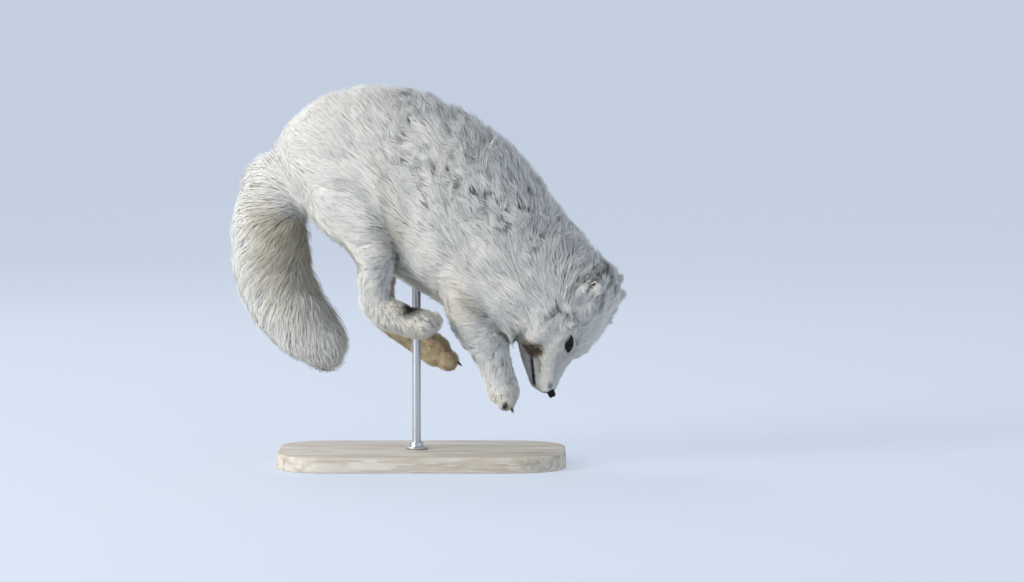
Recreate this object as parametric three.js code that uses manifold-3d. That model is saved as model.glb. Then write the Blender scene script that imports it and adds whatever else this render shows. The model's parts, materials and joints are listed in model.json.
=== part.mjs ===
// Arctic fox in its winter coat, life size, caught at the top of a mousing leap and held on a display stand.
// Millimetres, +Z up. The fox faces +X and dives; its right side is at -Y.
// The origin is the centre of the underside of the stand's base.
import * as THREE from "three";
import { mergeVertices } from "three/addons/utils/BufferGeometryUtils.js";
import Module from "manifold-3d";

const wasm = await Module();
wasm.setup();

// ---- driving dimensions ----
const GAP = 0.35; // clearance between neighbouring pieces
const LEFT = [0, 1, 0]; // the fox's left
const BASE = { length: 340, width: 200, thick: 18, corner: 60, bevel: 3 };
const ROD = { at: [-6, 0], radius: 5, top: 232, sunk: 12, collarRadius: 13, collarHigh: 9 };
const HEAD = { nose: [152, -18, 80], lean: -0.12, turn: -0.13, roll: 18 };
const EYE = { at: [65, 24, 21.5], radius: 8.6, look: [-0.5, 0.8, 0.35] };
const SOCKET = { half: [9.5, 9, 6.5], out: 10 };
const EAR = { base: [106, 38, 33], tip: [141, 49, 62], wide: 21, thick: 9, face: [-0.6, 0.7, 0.35] };
const NOSE = { at: [4.3, 0, -0.3], half: [5.8, 7, 5.4] };
const TOES = { count: 4, spacing: 9.2, half: [11.5, 7.3, 12], middleAhead: 2.5, splay: 0.1 };
const CLAW = { long: 11, base: 2.3, tip: 0.45, droop: 4.5, root: 8, raise: 1.5 };
const FINISH = {
  fur: { color: 0xe9e7e0, roughness: 0.95, metalness: 0 },
  face: { color: 0xe4e1da, roughness: 0.95, metalness: 0 },
  feet: { color: 0xd9cdb4, roughness: 0.95, metalness: 0 },
  nose: { color: 0x17161a, roughness: 0.45, metalness: 0 },
  eye: { color: 0x17120f, roughness: 0.1, metalness: 0 },
  claw: { color: 0x26211f, roughness: 0.4, metalness: 0 },
  wood: { color: 0xd8d2c6, roughness: 0.6, metalness: 0 },
  steel: { color: 0xb8babd, roughness: 0.35, metalness: 1 },
};

// Planes that part the fox into its pieces: a point and the way to the next piece.
const CUTS = {
  shoulders: [[140, 0, 300], [0.958, 0, -0.287]],
  nape: [[222, 0, 237], [0.665, 0, -0.747]],
  tailTop: [[-177, 0, 256], [0.05, 0, -1]],
  tailBend: [[-148, 0, 176], [0.6, 0, -0.8]],
  elbow: [[58, 0, 176], [0.35, 0, -0.94]],
  wrist: [[90, 0, 95], [0.25, 0, -0.97]],
  knee: [[-56, 0, 262], [0.2, 0, -0.98]],
};

// ---- solids ----

// A closed geometry as a solid that can be joined and cut.
function solidOf(geometry) {
  const bare = geometry.clone();
  for (const name of Object.keys(bare.attributes)) {
    if (name !== "position") bare.deleteAttribute(name);
  }
  const welded = mergeVertices(bare, 1e-4);
  return new wasm.Manifold(
    new wasm.Mesh({
      numProp: 3,
      vertProperties: new Float32Array(welded.attributes.position.array),
      triVerts: new Uint32Array(welded.index.array),
    }),
  );
}

function geometryOf(solid) {
  const mesh = solid.getMesh();
  const geometry = new THREE.BufferGeometry();
  const points = new Float32Array(mesh.numVert * 3);
  for (let i = 0; i < mesh.numVert; i++) {
    points.set(mesh.vertProperties.subarray(i * mesh.numProp, i * mesh.numProp + 3), i * 3);
  }
  geometry.setAttribute("position", new THREE.BufferAttribute(points, 3));
  geometry.setIndex(new THREE.BufferAttribute(new Uint32Array(mesh.triVerts), 1));
  geometry.computeVertexNormals();
  return geometry;
}

const joined = (...solids) => solids.reduce((all, one) => all.add(one));

// The biggest body of a solid, without the crumbs that a cut can leave.
function biggest(solid) {
  const bodies = solid.decompose();
  return bodies.reduce((best, body) => (body.volume() > best.volume() ? body : best));
}

// Rounds off the ends of a swept body: 0 at either end of the spine, 1 past the caps.
function capped(t, [first, last]) {
  const share = Math.min(1, t / first, (1 - t) / last);
  return Math.sqrt(Math.max(0, 1 - (1 - share) ** 2));
}

// A closed body swept along a spine of stations. Each station has its centre (at), its half-width to the
// side (wide), and its half-heights above (high) and below (low) the spine. A sphere's grid gives the rings.
function sweep(stations, { around, along, caps, square = 2, grow = 0, side = LEFT }) {
  const centres = stations.map((s) => new THREE.Vector3(...s.at));
  const spine = new THREE.CatmullRomCurve3(centres, false, "centripetal");
  const sizes = new THREE.CatmullRomCurve3(
    stations.map((s) => new THREE.Vector3(s.wide, s.high, s.low ?? s.high)),
    false,
    "catmullrom",
    0.5,
  );
  const sideways = new THREE.Vector3(...side);
  const geometry = new THREE.SphereGeometry(1, around, along);
  const position = geometry.attributes.position;
  const rounded = (x) => Math.sign(x) * Math.abs(x) ** (2 / square);
  for (let ring = 0; ring <= along; ring++) {
    const v = ring / along;
    const t = 0.5 * v + 0.25 * (1 - Math.cos(Math.PI * v)); // rings closer together towards the ends
    const centre = spine.getPoint(t);
    const ahead = spine.getTangent(t);
    const up = new THREE.Vector3().crossVectors(ahead, sideways).normalize();
    const across = new THREE.Vector3().crossVectors(up, ahead).normalize();
    const size = sizes.getPoint(t);
    const cap = capped(t, caps);
    centre.addScaledVector(ahead, Math.sign(t - 0.5) * grow * Math.sqrt(1 - cap ** 2));
    for (let spoke = 0; spoke <= around; spoke++) {
      const angle = (-2 * Math.PI * (spoke % around)) / around; // turns the way that faces the grid outwards
      const over = rounded(Math.sin(angle)) * (Math.sin(angle) > 0 ? size.y : size.z);
      const out = rounded(Math.cos(angle)) * size.x;
      const stretch = cap + (cap > 0 ? grow / Math.max(1, Math.hypot(over, out)) : 0);
      const point = centre.clone().addScaledVector(across, out * stretch).addScaledVector(up, over * stretch);
      position.setXYZ(ring * (around + 1) + spoke, point.x, point.y, point.z);
    }
  }
  const solid = solidOf(geometry);
  if (solid.volume() > 0) return solid;
  throw new Error("a swept body is inside out");
}

// An ellipsoid: centre, half-sizes along its own axes, and the directions of the first two axes.
function ellipsoid(centre, [a, b, c], first, second, [around, along]) {
  const x = new THREE.Vector3(...first).normalize();
  const z = new THREE.Vector3().crossVectors(x, new THREE.Vector3(...second)).normalize();
  const y = new THREE.Vector3().crossVectors(z, x);
  const place = new THREE.Matrix4().makeBasis(x.multiplyScalar(a), y.multiplyScalar(b), z.multiplyScalar(c));
  place.setPosition(...centre);
  return solidOf(new THREE.SphereGeometry(1, around, along).applyMatrix4(place));
}

// Everything on the far side of a plane: a block whose near face passes through the point.
function beyond(point, normal) {
  const size = 1400;
  const aim = new THREE.Vector3(...normal).normalize();
  const turn = new THREE.Quaternion().setFromUnitVectors(new THREE.Vector3(0, 0, 1), aim);
  const centre = new THREE.Vector3(...point).addScaledVector(aim, size / 2);
  const block = new THREE.BoxGeometry(size, size, size).applyQuaternion(turn);
  return solidOf(block.translate(centre.x, centre.y, centre.z));
}

// Parts a solid with a thin cut: [the piece before the plane, the piece past it].
function parted(solid, point, normal) {
  const aim = new THREE.Vector3(...normal).normalize();
  const back = new THREE.Vector3(...point).addScaledVector(aim, -GAP / 2);
  const front = new THREE.Vector3(...point).addScaledVector(aim, GAP / 2);
  return [
    biggest(solid.intersect(beyond(back.toArray(), aim.clone().negate().toArray()))),
    biggest(solid.intersect(beyond(front.toArray(), aim.toArray()))),
  ];
}

// ---- trunk and neck: one body along an arched back ----

const SPINE = [
  { at: [-169, 0, 330], wide: 34, high: 30, low: 36 },
  { at: [-136, 0, 341], wide: 58, high: 68, low: 58 },
  { at: [-97, 0, 347], wide: 70, high: 97, low: 80 },
  { at: [-50, 0, 340], wide: 77, high: 112, low: 91 },
  { at: [-5, 0, 322], wide: 82, high: 112, low: 97 },
  { at: [42, 0, 293], wide: 84, high: 108, low: 100 },
  { at: [85, 0, 257], wide: 81, high: 96, low: 91 },
  { at: [122, 0, 223], wide: 79, high: 84, low: 80 },
  { at: [154, 0, 194], wide: 76, high: 81, low: 73 },
  { at: [189, 0, 162], wide: 67, high: 80, low: 60 },
];

function torso(grow = 0) {
  return sweep(SPINE, { around: 22, along: 22, caps: [0.09, 0.1], square: 2.1, grow });
}

// ---- head: built in its own frame, whose origin is the tip of the nose ----

// Axes of the head: forward to the nose, up to the crown, and left.
const headAxes = (() => {
  const forward = new THREE.Vector3(HEAD.lean, HEAD.turn, -1).normalize();
  const crown = new THREE.Vector3().crossVectors(forward, new THREE.Vector3(...LEFT)).normalize();
  const up = crown.applyAxisAngle(forward, THREE.MathUtils.degToRad(HEAD.roll));
  return { forward, up, left: new THREE.Vector3().crossVectors(up, forward) };
})();

// A point of the head: how far back from the nose, to the left and up.
function onHead(back, left, up) {
  const point = new THREE.Vector3(...HEAD.nose);
  point.addScaledVector(headAxes.forward, -back).addScaledVector(headAxes.left, left);
  return point.addScaledVector(headAxes.up, up).toArray();
}

// A direction in the head's frame.
function headWay(back, left, up) {
  const way = headAxes.forward.clone().multiplyScalar(-back);
  return way.addScaledVector(headAxes.left, left).addScaledVector(headAxes.up, up).toArray();
}

const headSection = (back, up, wide, high, low) => ({ at: onHead(back, 0, up), wide, high, low });

const SKULL = [
  headSection(168, -3, 36, 62, 34),
  headSection(146, 0, 52, 70, 44),
  headSection(124, 2, 64, 67, 50),
  headSection(106, 3, 67, 61, 50),
  headSection(90, 3, 61, 56, 47),
  headSection(76, 3, 51, 50, 42),
  headSection(64, 2, 39, 42, 35),
  headSection(53, -1, 30, 29, 26),
  headSection(44, -3, 24, 22, 20),
  headSection(32, -4, 19.5, 17.5, 15.5),
  headSection(20, -4.5, 16, 14.5, 12.5),
  headSection(9, -4, 12.5, 11.5, 10.5),
  headSection(2, -3, 8, 7, 7),
];
const JAW = [
  headSection(84, -33, 36, 16, 19),
  headSection(62, -29, 27, 14, 19),
  headSection(44, -26, 19, 9, 14.5),
  headSection(28, -22.5, 14, 7, 10),
  headSection(15, -19.5, 11, 5, 7.5),
  headSection(8, -18, 7, 4, 5.5),
];

function skull() {
  const side = headAxes.left.toArray();
  const cranium = sweep(SKULL, { around: 20, along: 16, caps: [0.06, 0.07], square: 2.1, side });
  const jaw = sweep(JAW, { around: 10, along: 8, caps: [0.15, 0.12], side });
  return joined(cranium, jaw);
}

const flip = (side, [back, left, up]) => [back, side * left, up];

function eyeball(side, grow = 0) {
  const size = EYE.radius + grow;
  const look = headWay(...flip(side, EYE.look));
  return ellipsoid(onHead(...flip(side, EYE.at)), [size, size, size], look, headWay(0, 0, 1), [12, 8]);
}

// The hollow in the face that an eye looks out of.
function eyeSocket(side) {
  const [back, left, up] = EYE.at.map((x, i) => x + SOCKET.out * EYE.look[i]);
  const look = headWay(...flip(side, EYE.look));
  return ellipsoid(onHead(back, side * left, up), SOCKET.half, look, headWay(1, 0, 0.1), [10, 6]);
}

// A rounded, thick-furred cup, open towards the front and the side.
function ear(side, grow = 0) {
  const base = new THREE.Vector3(...onHead(...flip(side, EAR.base)));
  const tip = new THREE.Vector3(...onHead(...flip(side, EAR.tip)));
  const face = new THREE.Vector3(...headWay(...flip(side, EAR.face)));
  const rise = tip.clone().sub(base);
  const across = new THREE.Vector3().crossVectors(rise, face).normalize();
  const section = (share, wide, thick) => ({
    at: base.clone().addScaledVector(rise, share).toArray(),
    wide: EAR.wide * wide,
    high: EAR.thick * thick,
  });
  const sections = [
    section(-0.3, 0.8, 1.1),
    section(0.1, 0.97, 1.1),
    section(0.45, 1, 0.95),
    section(0.8, 0.8, 0.8),
    section(1, 0.5, 0.6),
  ];
  const leaf = sweep(sections, { around: 11, along: 8, caps: [0.1, 0.22], side: across.toArray(), grow });
  if (grow) return leaf;
  const way = new THREE.Vector3().crossVectors(across, rise).normalize();
  const facing = way.dot(face) > 0 ? way : way.negate();
  const hollow = base.clone().addScaledVector(rise, 0.42).addScaledVector(facing, EAR.thick * 1.05);
  const half = [rise.length() * 0.46, EAR.wide * 0.62, EAR.thick];
  return leaf.subtract(ellipsoid(hollow.toArray(), half, rise.toArray(), across.toArray(), [9, 5]));
}

function nosePad(grow = 0) {
  const half = NOSE.half.map((x) => x + grow);
  return ellipsoid(onHead(...NOSE.at), half, headWay(1, 0, 0.25), headWay(0, 1, 0), [10, 8]);
}

// ---- tail: hangs from the rump and curls under ----

const TAIL = [
  { at: [-138, 0, 344], wide: 42, high: 38, low: 43 },
  { at: [-166, 2, 327], wide: 43, high: 39, low: 43 },
  { at: [-177, 5, 298], wide: 44, high: 43 },
  { at: [-178, 8, 266], wide: 48, high: 49 },
  { at: [-175, 10, 232], wide: 48, high: 48.5 },
  { at: [-164, 10, 198], wide: 45, high: 46 },
  { at: [-145, 8, 171], wide: 42, high: 42.5 },
  { at: [-122, 5, 149], wide: 37, high: 37 },
  { at: [-104, 2, 134], wide: 31, high: 31 },
  { at: [-84, 0, 119], wide: 20, high: 20 },
];

// ---- legs ----

// side is 1 on the left and -1 on the right; ahead carries the lower leg forward.
function foreleg(side, ahead) {
  const station = (x, y, z, wide, high, low = high) => ({ at: [x, side * y, z], wide, high, low });
  return sweep(
    [
      station(72, 36, 262, 26, 36),
      station(60, 40, 226, 28, 34, 36),
      station(53, 41, 197, 27, 32, 30),
      station(60 + 0.75 * ahead, 38, 167, 23, 27, 27),
      station(74 + ahead, 35, 141, 20, 22.5),
      station(82 + ahead, 33, 119, 18, 19.5),
      station(88 + 0.9 * ahead, 32, 100, 17.5, 18),
      station(92 + 0.8 * ahead, 31, 88, 18.5, 17.5),
      station(94 + 0.7 * ahead, 31, 75, 17, 17),
    ],
    { around: 12, along: 14, caps: [0.1, 0.09] },
  );
}

function hindLimb(side, hock) {
  const station = (x, y, z, wide, high, low = high) => ({ at: [x, side * y, z], wide, high, low });
  return sweep(
    [
      station(-104, 36, 352, 34, 46, 50),
      station(-82, 45, 316, 33, 48, 54),
      station(-62, 51, 282, 29, 38, 44),
      station(-54, 53, 252, 24, 27, 27),
      station((-54 + hock[0]) / 2, 52, 225, 20, 20, 19),
      station(hock[0], hock[1], hock[2], 17, 17, 18),
      station(hock[0] + 4, hock[1], hock[2] - 16, 15, 15),
    ],
    { around: 12, along: 12, caps: [0.12, 0.08] },
  );
}

function hindFoot(side, stations) {
  return sweep(
    stations.map(([x, y, z, wide, high, low]) => ({ at: [x, side * y, z], wide, high, low })),
    { around: 10, along: 8, caps: [0.16, 0.16] },
  );
}

// Where each toe of a paw is, which way it points and which way its top faces.
function toePlaces({ root, aim, top }) {
  const forward = new THREE.Vector3(...aim).normalize();
  const side = new THREE.Vector3().crossVectors(new THREE.Vector3(...top), forward).normalize();
  const up = new THREE.Vector3().crossVectors(forward, side);
  return Array.from({ length: TOES.count }, (_, i) => {
    const place = i - (TOES.count - 1) / 2;
    const centre = new THREE.Vector3(...root).addScaledVector(side, place * TOES.spacing);
    centre.addScaledVector(forward, Math.abs(place) < 1 ? TOES.middleAhead : 0);
    return { centre, forward: forward.clone().addScaledVector(side, place * TOES.splay).normalize(), up };
  });
}

function toes(paw) {
  const made = toePlaces(paw).map(({ centre, forward, up }) => {
    const across = new THREE.Vector3().crossVectors(up, forward).toArray();
    return ellipsoid(centre.toArray(), TOES.half, forward.toArray(), across, [7, 5]);
  });
  return joined(...made);
}

// A hooked claw that leaves the top of each toe's end.
function claws(paw, flesh) {
  return toePlaces(paw).map(({ centre, forward, up }) => {
    const start = centre.clone().addScaledVector(forward, CLAW.root).addScaledVector(up, CLAW.raise);
    const stations = [0, 0.33, 0.67, 1].map((share) => {
      const at = start.clone().addScaledVector(forward, CLAW.long * share);
      at.addScaledVector(up, -CLAW.droop * share ** 2);
      const size = THREE.MathUtils.lerp(CLAW.base, CLAW.tip, share);
      return { at: at.toArray(), wide: size * 0.75, high: size };
    });
    const across = new THREE.Vector3().crossVectors(up, forward).toArray();
    return biggest(sweep(stations, { around: 5, along: 3, caps: [0.05, 0.1], side: across }).subtract(flesh));
  });
}

const FORE_PAWS = {
  right: { root: [98.5, -31, 80], aim: [0.75, -0.02, -1], top: [1, 0, 0.75] },
  left: { root: [97.5, 31, 80], aim: [0.7, 0.04, -1], top: [1, 0, 0.7] },
};
const FORE_AHEAD = { right: 6, left: 4.5 };
const HIND_PAWS = {
  right: { root: [10, -63, 172], aim: [1, -0.3, -0.1], top: [0.1, -0.25, 1] },
  left: { root: [29, 54, 119], aim: [0.95, 0.1, -0.3], top: [0.3, 0.1, 0.95] },
};
const HOCKS = { right: [-54, 50, 194], left: [-50, 49, 186] };
const HIND_FEET = {
  right: [
    [-64, 50, 199, 13, 13, 13],
    [-42, 53, 184, 17, 18, 18],
    [-20, 57, 175, 16, 16, 16],
    [-2, 61, 170, 19, 17, 15],
    [15, 64, 169, 18, 17, 14],
  ],
  left: [
    [-60, 49, 192, 13, 13, 13],
    [-38, 50, 170, 16, 17, 17],
    [-10, 51, 147, 15.5, 15, 15],
    [12, 53, 131, 18, 19, 16],
    [27, 54, 120, 18, 18, 17],
  ],
};

// ---- stand ----

function standBase() {
  const { length, width, thick, corner, bevel } = BASE;
  const [x, y] = [length / 2 - bevel, width / 2 - bevel];
  const outline = new THREE.Shape();
  outline.absarc(x - corner, y - corner, corner, 0, Math.PI / 2);
  outline.absarc(corner - x, y - corner, corner, Math.PI / 2, Math.PI);
  outline.absarc(corner - x, corner - y, corner, Math.PI, Math.PI * 1.5);
  outline.absarc(x - corner, corner - y, corner, Math.PI * 1.5, Math.PI * 2);
  const plate = new THREE.ExtrudeGeometry(outline, {
    depth: thick - 2 * bevel,
    bevelThickness: bevel,
    bevelSize: bevel,
    bevelSegments: 1,
    curveSegments: 3,
  });
  return solidOf(plate.translate(0, 0, bevel));
}

// A round bar or disc standing on the base.
function upright(radius, from, to) {
  const bar = new THREE.CylinderGeometry(radius, radius, to - from, 24).rotateX(Math.PI / 2);
  return solidOf(bar.translate(ROD.at[0], ROD.at[1], (from + to) / 2));
}

// ---- the fox, parted into its pieces ----

const pieces = []; // [name, solid, finish]
const add = (name, solid, finish) => pieces.push([name, solid, finish]);
const sides = { right: -1, left: 1 };
const bodyHull = torso(GAP);

function addLimb(limb, paw, names, cuts) {
  const [upper, rest] = parted(limb, ...cuts[0]);
  const [lower, foot] = parted(rest, ...cuts[1]);
  add(names.upper, upper, FINISH.fur);
  add(names.lower, lower, FINISH.fur);
  add(names.foot, foot, FINISH.feet);
  claws(paw, limb).forEach((claw, i) => add(names.claw + "_" + (i + 1), claw, FINISH.claw));
}

let body = joined(torso(), skull()).subtract(nosePad(GAP));
body = body.subtract(upright(ROD.radius + GAP, BASE.thick, ROD.top + GAP));
add("nose", nosePad(), FINISH.nose);
for (const [name, side] of Object.entries(sides)) {
  body = body.subtract(eyeSocket(side)).subtract(eyeball(side, GAP)).subtract(ear(side, GAP));
  add("ear_" + name, ear(side), FINISH.face);
  add("eye_" + name, eyeball(side), FINISH.eye);
}
const [trunk, front] = parted(body, ...CUTS.shoulders);
const [neck, head] = parted(front, ...CUTS.nape);
add("trunk", trunk, FINISH.fur);
add("neck", neck, FINISH.fur);
add("head", head, FINISH.face);

const tail = biggest(sweep(TAIL, { around: 16, along: 16, caps: [0.08, 0.14] }).subtract(bodyHull));
const [tailBase, tailRest] = parted(tail, ...CUTS.tailTop);
const [tailMiddle, tailEnd] = parted(tailRest, ...CUTS.tailBend);
add("tail_base", tailBase, FINISH.fur);
add("tail_middle", tailMiddle, FINISH.fur);
add("tail_end", tailEnd, FINISH.fur);

for (const [name, side] of Object.entries(sides)) {
  const paw = FORE_PAWS[name];
  const limb = joined(foreleg(side, FORE_AHEAD[name]), toes(paw));
  const names = { upper: "upper_arm_" + name, lower: "forearm_" + name };
  names.foot = "fore_paw_" + name;
  names.claw = "fore_claw_" + name;
  addLimb(biggest(limb.subtract(bodyHull)), paw, names, [CUTS.elbow, CUTS.wrist]);
}

for (const [name, side] of Object.entries(sides)) {
  const paw = HIND_PAWS[name];
  const [x, y, z] = HOCKS[name];
  const limb = joined(hindLimb(side, [x, y, z]), hindFoot(side, HIND_FEET[name]), toes(paw));
  const names = { upper: "thigh_" + name, lower: "shank_" + name };
  names.foot = "hind_foot_" + name;
  names.claw = "hind_claw_" + name;
  addLimb(biggest(limb.subtract(bodyHull)), paw, names, [CUTS.knee, [[x + 12, 0, z - 2], [0.8, 0, -0.6]]]);
}

const seat = upright(ROD.radius + GAP, BASE.thick - ROD.sunk, BASE.thick + ROD.collarHigh + 1);
const collar = upright(ROD.collarRadius, BASE.thick + GAP, BASE.thick + ROD.collarHigh);
add("stand_base", standBase().subtract(seat), FINISH.wood);
add("stand_rod", upright(ROD.radius, BASE.thick - ROD.sunk + GAP, ROD.top), FINISH.steel);
add("stand_collar", collar.subtract(seat), FINISH.steel);

const fox = new THREE.Group();
for (const [name, solid, finish] of pieces) {
  const mesh = new THREE.Mesh(geometryOf(solid), new THREE.MeshStandardMaterial(finish));
  mesh.name = name;
  fox.add(mesh);
}

export default fox;
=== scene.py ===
import heapq
import json
import math
import bpy
import bmesh
import numpy as np
import openvdb
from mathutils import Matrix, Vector
from mathutils.bvhtree import BVHTree
from mathutils.kdtree import KDTree

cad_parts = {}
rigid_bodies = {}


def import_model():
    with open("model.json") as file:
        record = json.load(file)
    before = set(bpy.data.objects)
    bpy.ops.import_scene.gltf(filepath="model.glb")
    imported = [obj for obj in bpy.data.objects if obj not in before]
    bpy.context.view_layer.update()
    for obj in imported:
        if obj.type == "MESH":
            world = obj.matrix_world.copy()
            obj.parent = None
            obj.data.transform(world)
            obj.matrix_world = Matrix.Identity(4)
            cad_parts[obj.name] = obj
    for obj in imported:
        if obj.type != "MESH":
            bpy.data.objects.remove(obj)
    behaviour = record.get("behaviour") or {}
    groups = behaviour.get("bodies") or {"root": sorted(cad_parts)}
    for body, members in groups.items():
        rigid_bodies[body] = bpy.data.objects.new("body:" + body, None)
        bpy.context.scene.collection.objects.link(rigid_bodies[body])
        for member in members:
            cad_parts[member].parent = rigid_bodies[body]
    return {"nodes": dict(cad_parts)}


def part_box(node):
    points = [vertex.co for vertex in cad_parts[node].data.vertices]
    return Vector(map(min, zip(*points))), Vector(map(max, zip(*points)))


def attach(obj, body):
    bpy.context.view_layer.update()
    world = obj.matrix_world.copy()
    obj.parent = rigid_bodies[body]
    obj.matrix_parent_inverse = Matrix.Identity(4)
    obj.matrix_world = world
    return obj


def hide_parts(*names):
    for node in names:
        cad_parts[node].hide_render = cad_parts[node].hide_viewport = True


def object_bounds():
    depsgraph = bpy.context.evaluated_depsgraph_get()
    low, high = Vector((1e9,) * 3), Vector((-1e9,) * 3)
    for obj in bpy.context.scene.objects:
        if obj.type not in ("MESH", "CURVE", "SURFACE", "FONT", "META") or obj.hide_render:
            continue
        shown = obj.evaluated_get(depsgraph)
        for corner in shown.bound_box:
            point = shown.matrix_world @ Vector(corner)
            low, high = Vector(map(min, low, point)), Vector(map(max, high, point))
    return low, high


for leftover in list(bpy.data.objects):  # the start-up cube, lamp and camera
    bpy.data.objects.remove(leftover)
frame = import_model()
cadLow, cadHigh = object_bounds()
mm = 0.001
chance = np.random.default_rng(20)


def unit(ways):
    return ways / np.maximum(np.linalg.norm(ways, axis=-1, keepdims=True), 1e-12)


def ramp(x, low, high):  # 0 at low, 1 at high, soft at both ends
    share = np.clip((x - low) / (high - low), 0, 1)
    return share * share * (3 - 2 * share)


def fall(x, low, high):  # 1 at low, 0 at high
    return 1 - ramp(x, low, high)


def dot(a, b):
    return (a * b).sum(-1)


def mixed(a, b, share):
    return a + (b - a) * share


def highest(*masks):
    return np.maximum.reduce(masks)


def blob(places, centre, radii, edge=0.6):  # 1 inside an egg of these radii, 0 outside, soft at its rim
    return fall(np.linalg.norm((places - np.array(centre)) / np.array(radii), axis=1), edge, 1)


def pointsOf(mesh):
    flat = np.empty(len(mesh.vertices) * 3, np.float32)
    mesh.vertices.foreach_get("co", flat)
    return flat.reshape(-1, 3).astype(float)


def trianglesOf(mesh):
    mesh.calc_loop_triangles()
    flat = np.empty(len(mesh.loop_triangles) * 3, np.int32)
    mesh.loop_triangles.foreach_get("vertices", flat)
    return flat.reshape(-1, 3)


def welded(points, triangles):  # joins corners that share a place
    _, first, place = np.unique(np.round(points * 1e6).astype(np.int64), axis=0,
                                return_index=True, return_inverse=True)
    triangles = place.reshape(-1)[triangles]
    whole = (triangles[:, 0] != triangles[:, 1]) & (triangles[:, 1] != triangles[:, 2])
    whole &= triangles[:, 0] != triangles[:, 2]
    return points[first], triangles[whole]


def normalsOf(points, triangles):
    a, b, c = (points[triangles[:, k]] for k in range(3))
    face = np.cross(b - a, c - a)
    total = np.zeros_like(points)
    for k in range(3):
        for axis in range(3):
            total[:, axis] += np.bincount(triangles[:, k], face[:, axis], len(points))
    return unit(total)


def outward(points, triangles):  # turns a closed form's faces outward
    a, b, c = (points[triangles[:, k]] - points.mean(0) for k in range(3))
    return triangles if dot(a, np.cross(b, c)).sum() > 0 else triangles[:, ::-1]


def treeOf(points, triangles):  # finds the nearest place of a surface
    return BVHTree.FromPolygons([Vector(p) for p in points], triangles.tolist())


def meshFrom(name, points, triangles):
    mesh = bpy.data.meshes.new(name)
    mesh.vertices.add(len(points))
    mesh.vertices.foreach_set("co", np.asarray(points, np.float32).ravel())
    mesh.loops.add(triangles.size)
    mesh.loops.foreach_set("vertex_index", np.asarray(triangles, np.int32).ravel())
    mesh.polygons.add(len(triangles))
    mesh.polygons.foreach_set("loop_start", np.arange(0, triangles.size, 3, dtype=np.int32))
    mesh.polygons.foreach_set("use_smooth", np.ones(len(triangles), bool))
    mesh.update(calc_edges=True)
    return mesh


def placed(mesh, material):
    thing = bpy.data.objects.new(mesh.name, mesh)
    bpy.context.scene.collection.objects.link(thing)
    mesh.materials.append(material)
    return thing


def handOver(piece, slot, *nodes):  # the piece rides the one body and is seen in place of these nodes
    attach(piece, "root")
    if nodes:
        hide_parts(*nodes)


def carry(mesh, name, values):  # a number for each vertex, for the materials
    mesh.attributes.new(name, "FLOAT", "POINT").data.foreach_set("value", np.asarray(values, np.float32))


class Net:  # which vertices are beside each other
    def __init__(self, triangles, count):
        pairs = np.concatenate([triangles[:, [0, 1]], triangles[:, [1, 2]], triangles[:, [2, 0]]])
        pairs = np.unique(np.sort(pairs, axis=1), axis=0)
        self.here = np.concatenate([pairs[:, 0], pairs[:, 1]])
        self.there = np.concatenate([pairs[:, 1], pairs[:, 0]])
        self.count = count
        self.degree = np.maximum(np.bincount(self.here, minlength=count), 1)

    def around(self, values):
        if values.ndim == 1:
            return np.bincount(self.here, values[self.there], self.count) / self.degree
        return np.stack([self.around(values[:, k]) for k in range(values.shape[1])], 1)

    def calm(self, values, rounds, share=0.5):
        for _ in range(rounds):
            values = values + (self.around(values) - values) * share
        return values


def centreOf(node):
    low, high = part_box(node)
    return np.array((low + high) / 2)


# the head's own axes come from the eyes and the nose
headShape = {
    "eyesBehindNose": 60.7 * mm, "eyesAboveNose": 21.8 * mm, "noseBack": 4.3 * mm, "noseUp": -0.3 * mm,
}


def headAxes():
    right, left, nose = centreOf("eye_right"), centreOf("eye_left"), centreOf("nose")
    side = unit(left - right)
    ahead = nose - (left + right) / 2
    ahead = unit(ahead - side * dot(ahead, side))
    above = np.cross(ahead, side)
    tilt = math.atan2(headShape["eyesAboveNose"], headShape["eyesBehindNose"])
    forward = ahead * math.cos(tilt) + above * math.sin(tilt)
    up = above * math.cos(tilt) - ahead * math.sin(tilt)
    tip = nose + forward * headShape["noseBack"] - up * headShape["noseUp"]
    return tip, np.stack([-forward, side, up])


noseTip, headTurn = headAxes()


def toHead(points):  # back from the nose tip, left, up, in millimetres
    return (points - noseTip) @ headTurn.T / mm


def fromHead(places):
    return noseTip + np.asarray(places, float) * mm @ headTurn


class Wire:  # a socket in a material that can stand in a sum
    def __init__(self, paint, socket):
        self.paint, self.socket = paint, socket

    def sum(self, operation, first, second=None):
        return self.paint.node("ShaderNodeMath", {"operation": operation}, {0: first, 1: second})

    def __add__(self, other):
        return self.sum("ADD", self, other)

    def __sub__(self, other):
        return self.sum("SUBTRACT", self, other)

    def __mul__(self, other):
        return self.sum("MULTIPLY", self, other)

    def __rsub__(self, other):
        return self.sum("SUBTRACT", other, self)

    __radd__, __rmul__ = __add__, __mul__


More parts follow.
